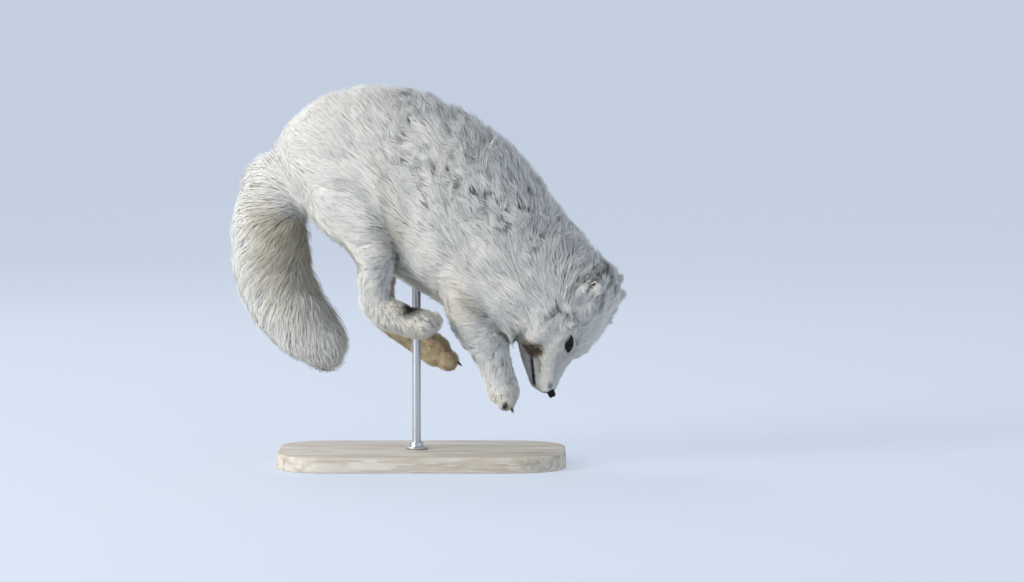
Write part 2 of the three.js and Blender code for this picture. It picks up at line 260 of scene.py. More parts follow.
class Paint:
    def __init__(self, name):
        self.material = bpy.data.materials.new(name)
        self.material.use_nodes = True
        self.tree = self.material.node_tree
        self.tree.nodes.clear()

    def node(self, kind, settings=None, sockets=None, out=0):
        node = self.tree.nodes.new(kind)
        for name, value in (settings or {}).items():
            setattr(node, name, value)
        for name, value in (sockets or {}).items():
            if isinstance(value, Wire):
                self.tree.links.new(value.socket, node.inputs[name])
            elif value is not None:
                node.inputs[name].default_value = value
        if node.outputs:
            return Wire(self, node.outputs[out])

    def carried(self, name):  # a number kept on the mesh
        return self.node("ShaderNodeAttribute", {"attribute_name": name}, out="Fac")

    def place(self):
        return self.node("ShaderNodeTexCoord", out="Object")

    def drawnOut(self, scale):  # the place, scaled by a number along each axis
        return self.node("ShaderNodeMapping", {}, {"Vector": self.place(), "Scale": scale})

    def noise(self, scale, detail=2, rough=0.5, where=None):
        return self.node("ShaderNodeTexNoise", {}, {"Vector": where or self.place(), "Scale": scale,
                                                    "Detail": detail, "Roughness": rough})

    def blend(self, share, first, second):
        return self.node("ShaderNodeMix", {"data_type": "RGBA"}, {0: share, 6: first, 7: second}, out=2)

    def between(self, value, low, high):  # 0 at low, 1 at high
        return self.node("ShaderNodeMapRange", {"interpolation_type": "SMOOTHSTEP"},
                         {"Value": value, "From Min": low, "From Max": high})

    def bump(self, height, strength, distance):
        return self.node("ShaderNodeBump", {},
                         {"Height": height, "Strength": strength, "Distance": distance})

    def finish(self, sockets):
        shader = self.node("ShaderNodeBsdfPrincipled", {}, sockets)
        self.node("ShaderNodeOutputMaterial", {}, {"Surface": shader})
        return self.material


def rgb(red, green, blue):
    return (red, green, blue, 1)


# the skin: every node of flesh in one surface, drawn in by the depth of the coat
skinShape = {
    "voxel": 2.5 * mm, "swell": 0.55 * mm,  # the swell closes the hairline cuts between the nodes
    "eyeFill": 1.12, "plug": 10 * mm, "plugOver": 3 * mm, "plugUp": 4 * mm,  # it fills the rod's hole
    "blur": 6, "calm": 6, "calmShare": 0.5, "thinShare": 0.15,
    "depthCalm": 50, "noseCalm": 8, "nearNose": (0.08, 0.11),  # depths blend less near the nose
}
coatDepth = {  # millimetres of fur over the skin
    "trunk": 17, "neck": 18, "head": 13, "ear": 2.2, "tail_base": 18, "tail_middle": 20, "tail_end": 18,
    "upper_arm": 11, "forearm": 6, "fore_paw": 2.6, "thigh": 13, "shank": 6.5, "hind_foot": 2.8,
}
faceCoat = {  # on the head, by the distance behind the nose, in millimetres
    "back": (10, 30, 60, 85, 118), "depth": (0.4, 1.3, 2.4, 6, 11), "ruffDepth": 13,
    "ruffBack": (60, 90), "ruffUp": (28, 46), "nape": (108, 126),
}


def familyOf(node):
    return next(name for name in coatDepth if node == name or node.startswith(name + "_"))


fleshNodes = [node for node in frame["nodes"]
              if not node.startswith(("nose", "eye_", "stand_")) and "claw" not in node]
fleshFamily = np.array([familyOf(node) for node in fleshNodes])


def ruffOf(places):  # 1 where the head wears the long coat: cheeks, nape and behind the ears
    back, _, up = places.T
    cheeks = ramp(back, *faceCoat["ruffBack"]) * fall(up, *faceCoat["ruffUp"])
    return np.maximum(cheeks, ramp(back, *faceCoat["nape"]))


def joined(shells):  # many meshes as one
    starts = np.cumsum([0] + [len(points) for points, _ in shells])
    return (np.concatenate([points for points, _ in shells]),
            np.concatenate([sides + start for (_, sides), start in zip(shells, starts)]))


def fleshSoup():  # all the flesh, and the number of the node that each triangle comes from
    meshes = [frame["nodes"][node].data for node in fleshNodes]
    shells = [welded(pointsOf(mesh), trianglesOf(mesh)) for mesh in meshes]
    owners = np.repeat(np.arange(len(shells)), [len(sides) for _, sides in shells])
    return *joined(shells), owners


def ball(centre, size, turns=24):  # a closed ball of triangles with its half-sizes
    solid = bmesh.new()
    bmesh.ops.create_uvsphere(solid, u_segments=turns, v_segments=turns // 2, radius=1)
    bmesh.ops.triangulate(solid, faces=solid.faces)
    places = np.array([corner.co for corner in solid.verts]) * size + centre
    sides = np.array([[corner.index for corner in face.verts] for face in solid.faces])
    solid.free()
    return places, sides


def solidField(points, triangles, band):  # how far each point of space is from the surface, below 0 inside
    return openvdb.FloatGrid.createLevelSetFromPolygons(
        points.astype(np.float32), triangles.astype(np.uint32), halfWidth=band / skinShape["voxel"],
        transform=openvdb.createLinearTransform(voxelSize=skinShape["voxel"]))


def surfaceOf(field):
    points, quads = field.convertToQuads(0)
    triangles = np.concatenate([quads[:, [0, 1, 2]], quads[:, [0, 2, 3]]]).astype(np.int64)
    return points.astype(float), outward(points.astype(float), triangles)


def oneSurface(points, triangles):  # all the flesh, with the eyes' sockets and the rod's hole filled
    shells = [(points + normalsOf(points, triangles) * skinShape["swell"], triangles)]
    for node in ("eye_right", "eye_left"):
        low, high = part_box(node)
        shells.append(ball(centreOf(node), np.array(high - low) / 2 * skinShape["eyeFill"]))
    plug = skinShape["plug"]
    x, y, _ = centreOf("stand_rod")
    belly = flesh.ray_cast(Vector((x + 1.1 * plug, y, cadLow.z)), Vector((0, 0, 1)))[0].z  # beside the hole
    tall = (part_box("stand_rod")[1].z - belly) / 2
    middle = np.array([x, y, belly + tall + skinShape["plugUp"]])
    shells.append(ball(middle, np.array([plug, plug, tall + skinShape["plugOver"]])))
    return surfaceOf(solidField(*joined(shells), 3 * skinShape["voxel"]))


def blurred(values, rounds):
    for _ in range(rounds):
        for axis in range(3):
            values = (np.roll(values, 1, axis) + values * 2 + np.roll(values, -1, axis)) / 4
    return values


def drawnIn(points, triangles, depth):  # the surface that lies below this one by the depth of each place
    voxel, most = skinShape["voxel"], depth.max()
    grid = solidField(points, triangles, most + 5 * voxel)
    low, high = (np.array(corner) for corner in grid.evalActiveVoxelBoundingBox())
    low, high = low - 2, high + 2
    field = np.empty(high - low + 1, np.float32)
    grid.copyToArray(field, tuple(low.tolist()))
    near = (field < voxel) & (field > -most - 3 * voxel)
    tree = KDTree(len(points))
    for k, point in enumerate(points):
        tree.insert(point, k)
    tree.balance()
    places = (np.argwhere(near) + low) * voxel
    wanted = np.zeros_like(field)
    wanted[near] = [depth[tree.find(place)[1]] for place in places]
    share = blurred(near.astype(np.float32), skinShape["blur"])
    wanted = np.where(share > 1e-3, blurred(wanted, skinShape["blur"]) / np.maximum(share, 1e-3), 0)
    inner = openvdb.FloatGrid(1.0)
    inner.copyFromArray((field + wanted).astype(np.float32), tuple(low.tolist()))
    inner.transform = grid.transform
    return surfaceOf(inner)


def wayFrom(start, points, net):  # length of the way over the skin from a place, for each vertex
    order = np.argsort(net.here, kind="stable")
    here, there = net.here[order], net.there[order]
    steps = np.linalg.norm(points[here] - points[there], axis=1)
    first = np.searchsorted(here, np.arange(net.count + 1)).tolist()
    there, steps = there.tolist(), steps.tolist()
    far = [math.inf] * net.count
    begin = int(np.argmin(np.linalg.norm(points - start, axis=1)))
    far[begin] = 0.0
    queue = [(0.0, begin)]
    while queue:
        done, here = heapq.heappop(queue)
        if done > far[here]:
            continue
        for k in range(first[here], first[here + 1]):
            reach = done + steps[k]
            if reach < far[there[k]]:
                far[there[k]] = reach
                heapq.heappush(queue, (reach, there[k]))
    return np.array(far)


def kept(points, triangles, keep):  # drops the vertices that aren't kept
    new = np.cumsum(keep) - 1
    return points[keep], new[triangles[keep[triangles].all(axis=1)]]


def depthOf(owner, points):
    depth = np.array([coatDepth[family] for family in fleshFamily], float)[owner]
    places = toHead(points)
    face = np.interp(places[:, 0], faceCoat["back"], faceCoat["depth"])
    face = mixed(face, faceCoat["ruffDepth"], ruffOf(places))
    return np.where((fleshFamily == "head")[owner], face, depth)


def thinOf(owner):  # true on the ears and feet, whose forms are small
    return np.isin(fleshFamily, ("ear", "fore_paw", "hind_foot"))[owner]


def calmed(points, triangles, owner):
    net = Net(triangles, len(points))
    thin = net.calm(thinOf(owner).astype(float), 4)
    share = mixed(skinShape["calmShare"], skinShape["thinShare"], thin)[:, None]
    for _ in range(skinShape["calm"]):
        points = points + (net.around(points) - points) * share
    return points


def wholePart(points, triangles):  # drops what isn't joined to the nose
    way = wayFrom(noseTip, points, Net(triangles, len(points)))
    return kept(points, triangles, np.isfinite(way))


soup, soupSides, soupOwners = fleshSoup()
flesh = treeOf(soup, soupSides)


def ownerOf(points):  # the node that each place lies nearest to
    return np.array([soupOwners[flesh.find_nearest(point)[2]] for point in points.tolist()])


def makeSkin():
    points, triangles = wholePart(*oneSurface(soup, soupSides))
    owner = ownerOf(points)
    points = calmed(points, triangles, owner)
    coatTop = treeOf(points, triangles)
    net = Net(triangles, len(points))
    depth = depthOf(owner, points) * mm
    near = fall(np.linalg.norm(points - noseTip, axis=1), *skinShape["nearNose"])
    depth = mixed(net.calm(depth, skinShape["depthCalm"]), net.calm(depth, skinShape["noseCalm"]), near)
    points, triangles = wholePart(*drawnIn(points, triangles, depth))
    owner = ownerOf(points)
    return coatTop, calmed(points, triangles, owner), triangles, owner


# lids, lips, the hollows of the ears and the furrows between the toes, all in millimetres
faceShape = {
    "eyeSink": 2.0, "eyeRadius": 8.4, "eyeLook": (-0.5, 0.8, 0.35),
    "opening": (9.8, 4.5),  # half-length and half-height of the slit between the lids
    "liner": (13.5, 5.4), "linerBack": 1.8,  # the same of the dark rim round it, which lies further back
    "lidOver": 1.12, "socketIn": 0.84, "lidEdge": (-0.7, 0.5), "lidLeaves": 1.6, "lidFades": 10,
    "fold": 0.6, "foldRises": (1.2, 2.6), "foldFalls": (3, 6),
    "mouthBack": (4, 15, 44, 56), "mouthUp": (-15, -19, -23, -24),
    "mouthStarts": (8, 15), "mouthEnds": (42, 54), "grooveEnds": (50, 60),
    "mouthDepth": 1.5, "mouthWide": 1.1, "lipDark": 3.4,
    "padAt": (6.4, 0, -0.6), "padBare": (6.0, 7.2), "tipSlope": 4.0, "tipFades": (3, 25),
    "lowerBack": (0, 10, 28, 36, 42, 50, 54, 62, 80, 105, 125),  # the bridge, the stop and the brow
    "lower": (2.5, 3.8, 4.5, 8.0, 12.5, 14.0, 12.0, 8.5, 7.0, 6.0, 0),
    "browTop": ((25, 45), (12, 36)), "browWide": (22, 38), "browFromEye": (10.5, 17),
    "fine": (26, 62), "finest": (17, 0),  # round the eyes, and behind the nose
}
earShape = {
    "base": (106, 38, 33), "tip": (141, 49, 62), "face": (-0.6, 0.7, 0.35), "wide": 19, "thick": 14,
    "hollowAt": 0.72, "hollowAside": -0.25, "hollowLong": 0.30, "hollowWide": 0.28, "hollowDeep": 5.0,
    "narrow": 6.0,
}
toeShape = {"furrow": 2.2, "wide": (0.4, 2.6), "reach": (9, 13), "along": (-26, -14)}


def eyeFrame(side):  # the eyeball's centre and three ways, in the head's millimetres
    ahead, across, above = faceShape["eyeLook"]
    look = unit(np.array([ahead, across * side, above]))
    along = unit(np.array([1, 0, 0]) - look * look[0])
    upward = np.cross(look, along)
    centre = toHead(centreOf("eye_left" if side > 0 else "eye_right")) - look * faceShape["eyeSink"]
    return centre, look, along, upward * np.sign(upward[2])


def besideLeaf(x, y, long, high):  # how far a point lies outside a pointed leaf of these half-sizes
    half = high * np.clip(1 - (x / long) ** 2, 0, 1) ** 0.75
    beside = np.maximum(abs(x) - long, 0)
    return np.where(beside > 0, np.hypot(beside, y), abs(y) - half)


def fromSlit(places, side):  # how far a place lies outside the slit of the lids, and how high
    centre, look, along, above = eyeFrame(side)
    away = places - centre
    far = np.linalg.norm(away, axis=1)
    way = away / far[:, None]
    flat = np.stack([dot(way, along), dot(way, above)], 1)
    arc = np.arccos(np.clip(dot(way, look), -1, 1)) * np.maximum(far, faceShape["eyeRadius"])
    x, y = (unit(flat) * arc[:, None]).T
    return besideLeaf(x, y, *faceShape["opening"]), y


def linerOf(places):  # how far a place lies outside the dark rim round an eye
    gaps = []
    for side in (-1, 1):
        centre, look, along, above = eyeFrame(side)
        away = places - centre
        gap = besideLeaf(dot(away, along) - faceShape["linerBack"], dot(away, above), *faceShape["liner"])
        gaps.append(np.where(dot(away, look) > -4, gap, 99))
    return np.minimum(*gaps)


def mouthOf(places):  # height over the line between the lips, and how far along it counts
    back, _, up = places.T
    line = np.interp(back, faceShape["mouthBack"], faceShape["mouthUp"])
    return up - line, ramp(back, *faceShape["mouthStarts"]) * fall(back, *faceShape["mouthEnds"])


def earAxes(side):  # an ear's foot and length, and the ways up it, out of its hollow and across it
    base, tip, face = (np.array(earShape[name]) * [1, side, 1] for name in ("base", "tip", "face"))
    along = unit(tip - base)
    look = unit(face - along * dot(face, along))
    return base, np.linalg.norm(tip - base), along, look, np.cross(along, look) * side


def hollowOf(places, normals, side):  # 1 in the hollow of an ear, and the way out of it
    base, tall, along, look, across = earAxes(side)
    away = places - base
    high = (dot(away, along) / tall - earShape["hollowAt"]) / earShape["hollowLong"]
    beside = (dot(away, across) / earShape["wide"] - earShape["hollowAside"]) / earShape["hollowWide"]
    near = abs(dot(away, look)) < earShape["thick"]
    return fall(np.hypot(high, beside), 0.55, 1.0) * ramp(dot(normals, look), 0.0, 0.5) * near, look


def narrowEar(places, side):  # draws the front edge of an ear towards its middle
    base, tall, along, look, across = earAxes(side)
    away = places - base
    thick = fall(abs(dot(away, look)), earShape["thick"], earShape["thick"] + 6)
    here = ramp(dot(away, along) / tall, 0.1, 0.5) * thick * (abs(dot(away, across)) < 30)
    drawn = earShape["narrow"] * ramp(dot(away, across) / earShape["wide"], 0.1, 0.9) * here
    return places - across * drawn[:, None]


def furrowsOf(points):  # 1 in the furrows between the toes
    furrow = np.zeros(len(points))
    for limb, paw in (("fore", "fore_paw"), ("hind", "hind_foot")):
        for side in ("right", "left"):
            start = f"{limb}_claw_{side}_"
            claws = np.array([pointsOf(frame["nodes"][node].data).mean(0)
                              for node in frame["nodes"] if node.startswith(start)])
            aim = unit(claws.mean(0) - centreOf(f"{paw}_{side}"))
            away = points[:, None, :] - claws[None]
            ahead = dot(away, aim)
            beside = np.sort(np.linalg.norm(away - ahead[..., None] * aim, axis=2), axis=1) / mm
            along = ahead.mean(1) / mm
            first, second = beside[:, 0], beside[:, 1]
            here = fall(second - first, *toeShape["wide"]) * fall(first, *toeShape["reach"])
            furrow = np.maximum(furrow, here * ramp(along, *toeShape["along"]))
    return furrow


def openLids(places, side):  # the lids over the eyeball, and the socket between them
    centre = eyeFrame(side)[0]
    radius = faceShape["eyeRadius"]
    gap, y = fromSlit(places, side)
    away = places - centre
    far = np.linalg.norm(away, axis=1)
    lid = radius * mixed(faceShape["socketIn"], faceShape["lidOver"], ramp(gap, *faceShape["lidEdge"]))
    fold = faceShape["fold"] * ramp(y, 0, 3) * ramp(gap, *faceShape["foldRises"])
    fold = fold * fall(gap, *faceShape["foldFalls"])
    wanted = mixed(lid, far, ramp(gap, faceShape["lidLeaves"], faceShape["lidFades"])) + fold
    near = (gap < faceShape["lidFades"]) & (far < radius * 3)
    return np.where(near[:, None], centre + unit(away) * wanted[:, None], places)


def lowerOf(places):  # how much lower the bridge, the stop and the brow lie, but not round the eyes
    top = np.interp(places[:, 0], *faceShape["browTop"])
    brow = ramp(places[:, 2] / top, 0.1, 1) * fall(abs(places[:, 1]), *faceShape["browWide"])
    for side in (-1, 1):
        far = np.linalg.norm(places - eyeFrame(side)[0], axis=1)
        brow = brow * ramp(far, *faceShape["browFromEye"])
    return np.interp(places[:, 0], faceShape["lowerBack"], faceShape["lower"]) * brow


def shapeFace(points, triangles):
    places = toHead(points)
    for side in (-1, 1):
        places = openLids(places, side)
    normals = normalsOf(points, triangles)
    for side in (-1, 1):
        hollow, look = hollowOf(places, normals @ headTurn.T, side)
        places = places - look * (hollow * earShape["hollowDeep"])[:, None]
        places = narrowEar(places, side)
    slope = faceShape["tipSlope"] * fall(places[:, 0], *faceShape["tipFades"])
    places[:, 2] -= slope * ramp(places[:, 2], -3, 7)
    places[:, 2] -= lowerOf(places)
    height, share = mouthOf(places)
    groove = faceShape["mouthDepth"] * np.exp(-(height / faceShape["mouthWide"]) ** 2) * share
    groove = groove * fall(places[:, 0], *faceShape["grooveEnds"]) + toeShape["furrow"] * furrowsOf(points)
    return fromHead(places) - normals * (groove * mm)[:, None]


def finer(points, triangles, owner, wanted):  # splits each edge between wanted vertices in two
    mesh = meshFrom("finer", points, triangles)
    solid = bmesh.new()
    solid.from_mesh(mesh)
    edges = [edge for edge in solid.edges if wanted[edge.verts[0].index] and wanted[edge.verts[1].index]]
    bmesh.ops.subdivide_edges(solid, edges=edges, cuts=1)
    bmesh.ops.triangulate(solid, faces=solid.faces)
    solid.to_mesh(mesh)
    solid.free()
    places, sides = pointsOf(mesh), trianglesOf(mesh)
    bpy.data.meshes.remove(mesh)
    return places, sides, np.concatenate([owner, ownerOf(places[len(owner):])])


def makeFace(points, triangles, owner):
    eyes = [toHead(centreOf(node)) for node in ("eye_right", "eye_left")]
    fine, finest = faceShape["fine"], faceShape["finest"]

    def nearFace(points, reach, muzzle):
        places = toHead(points)
        far = np.minimum(*(np.linalg.norm(places - eye, axis=1) for eye in eyes))
        onMuzzle = (places[:, 0] < muzzle) & (abs(places[:, 1]) < 45) & (abs(places[:, 2]) < 60)
        return (far < reach) | onMuzzle

    points, triangles, owner = finer(points, triangles, owner, nearFace(points, *fine) | thinOf(owner))
    net = Net(triangles, len(points))
    share = nearFace(points, *fine) * 0.4 * ramp(toHead(points)[:, 0], 2, 12) + thinOf(owner) * 0.3
    for _ in range(3):
        points = points + (net.around(points) - points) * share[:, None]
    points, triangles, owner = finer(points, triangles, owner, nearFace(points, *finest))
    points = shapeFace(points, triangles)
    share = (nearFace(points, *finest) * 0.3)[:, None]
    return points + (Net(triangles, len(points)).around(points) - points) * share, triangles, owner


coatTop, *bareSkin = makeSkin()
skinPoints, skinTriangles, skinOwner = makeFace(*bareSkin)
print("skin", len(skinPoints), "vertices", len(skinTriangles), "triangles")

# how the coat grows in each place
coat = {  # reach over the skin, width, root to root, pull into locks, size of a lock, wave (mm), rise
    "trunk": (27, 1.00, 1.30, 0.20, 12, 1.2, 1.00), "neck": (27, 1.00, 1.30, 0.25, 12, 1.4, 1.00),
    "head": (20, 0.85, 1.10, 0.30, 9, 1.2, 1.00), "ear": (9, 0.65, 0.85, 0.30, 5, 0.5, 1.90),
    "tail_base": (30, 1.05, 1.35, 0.20, 12, 1.2, 1.00),
    "tail_middle": (32, 1.05, 1.35, 0.20, 12, 1.2, 1.00),
    "tail_end": (30, 1.05, 1.35, 0.22, 12, 1.2, 1.00),
    "upper_arm": (20, 0.95, 1.20, 0.30, 10, 1.1, 1.05), "thigh": (23, 0.95, 1.25, 0.22, 11, 1.0, 1.05),
    "forearm": (12, 0.80, 1.05, 0.35, 7, 0.9, 1.15), "shank": (13, 0.80, 1.05, 0.35, 7, 0.9, 1.15),
    "fore_paw": (8, 0.65, 0.85, 0.40, 5, 0.5, 1.5), "hind_foot": (10, 0.65, 0.85, 0.45, 5, 0.6, 1.8),
}
coatColumns = ("reach", "wide", "roots", "lock", "size", "wave", "rise")
faceFur = {
    "back": (10, 30, 55, 85, 118), "reach": (3.5, 5.5, 9, 15, 20), "hollowReach": 3.0,
    "wide": 0.60, "roots": 0.80, "lock": 0.2, "size": 5, "wave": 0.3,
}
wool = {  # where the coat stands in woolly locks: a saddle over back and shoulders, and the ruff
    "line": ((-30, 335), (150, 232)), "fade": (-28, 22), "from": (-55, -5), "ruff": 0.9,
    "even": 0.72, "patchy": 0.28, "patchSize": 60, "onCrown": (66, 88),
    "pull": 0.34, "turn": 0.60, "dip": 0.32, "crest": 0.14, "uneven": 0.12, "curl": 2.4,
    "size": 6.5, "ruffSize": 10, "ruffShare": 3, "ruffPull": 0.25, "ruffDeep": 1.3,
}
coatRule = {
    "tufts": 226000, "mostTufts": 32500,  # in all, and in one piece
    "sag": 0.22,  # how much the fur also hangs
    "lockTurn": 0.08, "fineLock": 4.5, "finePull": 0.3, "tight": 0.3,  # small locks inside the large
    "low": 0.42, "jitter": 0.2, "strays": 0.22, "strayRise": 1.3, "strayMore": 2.2 * mm,
    "reach": (0.72, 1.2), "wide": (0.7, 1.25), "strayWide": 0.6, "rootIn": 0.6,
    "softNormals": 0.88, "patch": 0.003,
    "lumpSizes": (36, 12), "lumps": (0.10, 0.06),  # the coat rises and sinks in soft lumps
    "lockTilt": 0.11, "tuftTilt": 0.08,  # how unevenly locks and tufts turn to the light
    "tailJoin": ((-166, 0, 350), (32, 60, 32), 0.35), "throatFluff": ((113, 0, 150), (17, 60, 19), 0.5),
    "hollowLow": 0.8, "crease": 0.35,
    "creases": (((50, 212), (104, 146), 7, 1.0), ((-31, 338), (-26, 256), 9, 0.7)),  # ends, width, strength
}
tail, torso = ("tail_base", "tail_middle", "tail_end"), ("trunk", "thigh", "upper_arm", "forearm")


def lieOf(points, triangles, normals):  # the way the hair lies: off from the nose, down each limb
    net = Net(triangles, len(points))
    far = net.calm(wayFrom(noseTip, points, net), 30)
    step = points[net.there] - points[net.here]
    rise = (far[net.there] - far[net.here]) / np.maximum(dot(step, step), 1e-12)
    way = np.stack([np.bincount(net.here, rise * step[:, k], net.count) for k in range(3)], 1)
    way = unit(way - normals * dot(way, normals)[:, None])
    way[:, 2] -= coatRule["sag"]
    for _ in range(6):
        way = net.calm(way, 6)
        way = unit(way - normals * dot(way, normals)[:, None])
    return way


skinNormals = normalsOf(skinPoints, skinTriangles)
skinLie = lieOf(skinPoints, skinTriangles, skinNormals)
skinNet = Net(skinTriangles, len(skinPoints))
skinFamily, skinNode = fleshFamily[skinOwner], np.array(fleshNodes)[skinOwner]


def on(*families):  # true on these parts of the skin
    return np.isin(skinFamily, families)


headPlaces = toHead(skinPoints)
room = np.array([coatTop.find_nearest(point)[3] for point in skinPoints.tolist()])
liner = linerOf(headPlaces)
padGap = np.linalg.norm(headPlaces - faceShape["padAt"], axis=1)
lipUp, lipShare = mouthOf(headPlaces)
onHead = on("head").astype(float)
earHollow = highest(*(hollowOf(headPlaces, skinNormals @ headTurn.T, side)[0] for side in (-1, 1)))
earHollow = earHollow * on("ear")
toeFurrow = furrowsOf(skinPoints) * on("fore_paw", "hind_foot")


def lumpsOf(places, size, waves=14):  # a soft unevenness between about -1 and 1
    total = np.zeros(len(places))
    for _ in range(waves):
        way = unit(chance.normal(0, 1, 3)) * 2 * math.pi / (size * chance.uniform(0.7, 1.5))
        total += np.cos(places @ way + chance.uniform(0, 2 * math.pi))
    return total / math.sqrt(waves)


def woolOf():
    (x0, z0), (x1, z1) = wool["line"]
    x, z = skinPoints[:, 0] / mm, skinPoints[:, 2] / mm
    over = (z - z0) - (x - x0) * (z1 - z0) / (x1 - x0)
    saddle = ramp(over, *wool["fade"]) * ramp(x, *wool["from"]) * on("trunk", "neck")
    patches = np.clip(lumpsOf(skinPoints / mm, wool["patchSize"]), -1, 1)
    saddle = saddle * (wool["even"] + wool["patchy"] * patches)
    return skinNet.calm(np.maximum(saddle, wool["ruff"] * ruffOf(headPlaces) * onHead), 12)


def alongLine(places, start, end, wide):  # 1 on the line between two places, 0 outside its width
    start, end = np.array(start, float), np.array(end, float)
    along = np.clip((places - start) @ (end - start) / ((end - start) @ (end - start)), 0, 1)
    gap = np.linalg.norm(places - start - along[:, None] * (end - start), axis=1)
    return fall(gap, 0, wide)


# the lines where the near legs meet the body: the coat dips along them, and they carry painted olive shade
legCrease = highest(*(strength * alongLine(skinPoints[:, [0, 2]] / mm, *line)
                      for *line, strength in coatRule["creases"]))
legCrease = legCrease * (skinPoints[:, 1] < 0) * on(*torso)


def growthFields():
    fields = {}
    for k, name in enumerate(coatColumns):
        ofNode = np.array([coat[family][k] for family in fleshFamily], float)
        fields[name] = skinNet.calm(ofNode[skinOwner], 12)
    face = skinNet.calm(onHead * (1 - ruffOf(headPlaces)), 10)
    faceReach = np.interp(headPlaces[:, 0], faceFur["back"], faceFur["reach"])
    fields["reach"] = mixed(fields["reach"], faceReach, face)
    for name in ("wide", "roots", "lock", "size", "wave"):
        fields[name] = mixed(fields[name], faceFur[name], face)
    nearHollow = np.clip(skinNet.calm(earHollow, 8) * 2.5, 0, 1)
    fields["reach"] = mixed(fields["reach"], faceFur["hollowReach"], nearHollow)
    rise = fields["rise"] * (1 - coatRule["hollowLow"] * np.maximum(earHollow, toeFurrow))
    fromCrown = np.where(onHead > 0, ramp(headPlaces[:, 0], *wool["onCrown"]), 1)
    fields["wool"] = woolOf() * np.clip(1.25 - face, 0, 1) * fromCrown
    woolSize = np.where(onHead > 0, wool["ruffSize"], wool["size"])
    woolShare = np.where(onHead > 0, wool["ruffShare"], 1) * fields["wool"]
    fields["size"] = mixed(fields["size"], woolSize, np.clip(woolShare, 0, 1))
    lips = lipShare * fall(abs(lipUp + 0.4), 1.3, 2.2) * onHead
    fields["bare"] = highest(fall(liner, 0.2, 1.0), fall(padGap, *faceShape["padBare"]), lips, earHollow)
    fields["reach"] = np.minimum(fields["reach"], 2.5 + 0.8 * np.maximum(np.minimum(liner, padGap - 6), 0))
    fields["face"] = face
    fields["ruff"] = skinNet.calm(fields["wool"] * onHead, 4)
    lowRoom = np.interp(headPlaces[:, 0], faceCoat["back"], faceCoat["depth"]) * mm * 1.1
    lowRoom = np.where(on("ear"), coatDepth["ear"] * 1.2 * mm, lowRoom)
    clipped = np.clip(lowRoom / np.maximum(room, 1e-5), 0.1, 1)
    rise = rise * mixed(1, clipped, np.maximum(face, on("ear")))
    for name in ("tailJoin", "throatFluff"):
        middle, wide, more = coatRule[name]
        rise = rise * (1 + more * blob(skinPoints / mm, middle, wide, 0.2) * (1 - face))
    fields["rise"] = rise * (1 - coatRule["crease"] * legCrease)
    return fields


growth = growthFields()
print("lie of the coat")

# the markings and the painted shade, the same for skin and fur: centres, radii and strengths, those on the
# head by back, left, up
markings = {
    "tailLine": ((130, 171, 198, 232, 266, 298, 327), (-100, -145, -164, -175, -178, -177, -166)),
    # painted shade inside the tail, with a slight real brown tint
    "tailBrown": ((120, 160, 204, 250, 298, 335), (0.0, 0.20, 0.42, 0.90, 1.0, 0.1)),
    "tailEdge": (-18, 12),
    # painted olive shade in the flank by the thigh's front edge and in the armpit
    "flank": ((-20, 262), (30, 60), 0.65), "armpit": ((66, 186), (30, 24), 0.5),
    "crease": 0.8, "creaseDepth": (0.5, 3.0), "legCrease": 0.9,  # painted olive shade where the body folds
    "crooks": (((41, 33), (17, 10)), ((26, 58), (9, 17))), "claw": ((98, 79), (3.4, 5.5)),
    "throat": ((58, 19, -17), (27, 29, 22), 0.1),
    "cheek": ((36, 15, -12), (21, 12, 10), 0.2), "cheekStain": 0.38,
    # painted shade on each side of the muzzle behind the nose
    "bridge": ((15, 8, 0), (9, 6.5, 4), 0.3), "bridgeDark": 0.85,
    "muzzleDark": 0.14, "muzzleFades": (40, 70), "padDark": (6.0, 7.4), "furrowDark": 0.75,
    "linerEdge": (-0.7, 0.5), "haloWide": (0, 5), "haloDark": 0.3,
    "cream": (("hind_foot", 0.5), ("fore_paw", 0.3), ("shank", 0.12)), "soleCream": 0.5, "sole": (4, 14),
    "tan": (("hind_foot_left", 1.0), ("shank_left", 0.3)),
    "woolGrey": 0.95, "bodyGrey": 0.25, "faceGrey": 0.15,
}
coatColours = {
    "tip": rgb(0.915, 0.90, 0.845), "root": rgb(0.70, 0.69, 0.64), "grey": rgb(0.40, 0.405, 0.385),
    "cream": rgb(0.80, 0.70, 0.52), "tan": rgb(0.86, 0.67, 0.39), "fawn": rgb(0.47, 0.31, 0.15),
    # on the next line, two painted shade colours: the olive one inside the tail (with a slight real brown
    # tint), in the flank, armpit and folds; the dark one in the ears' hollows
    "umber": rgb(0.13, 0.095, 0.060), "brown": rgb(0.50, 0.44, 0.32), "rust": rgb(0.25, 0.185, 0.11),
    "stain": rgb(0.075, 0.050, 0.034), "dark": rgb(0.010, 0.008, 0.008),
    "patchy": 0.4, "deepShade": 0.34, "shadeOfTufts": 0.18, "warmth": 0.12, "dapple": 0.14,
    "rough": 0.75, "sheen": 0.12,
}


def shadeAndBrownOf(x, z):  # painted olive shade inside the tail, in the flank, in the armpit and where the body folds, with a slight real brown tint inside the tail
    heights, line = markings["tailLine"]
    inner = ramp(x - np.interp(z, heights, line), *markings["tailEdge"])
    brown = on(*tail) * inner * np.interp(z, *markings["tailBrown"])
    for name in ("flank", "armpit"):
        centre, radii, strength = markings[name]
        brown = np.maximum(brown, on(*torso) * strength * blob(np.stack([x, z], 1), centre, radii, 0.2))
    deep = dot(skinNet.calm(skinPoints, 60) - skinPoints, skinNormals) / mm
    crease = ramp(skinNet.calm(deep, 10), *markings["creaseDepth"]) * ~on("head", "ear")
    return highest(brown, markings["crease"] * crease, markings["legCrease"] * legCrease)


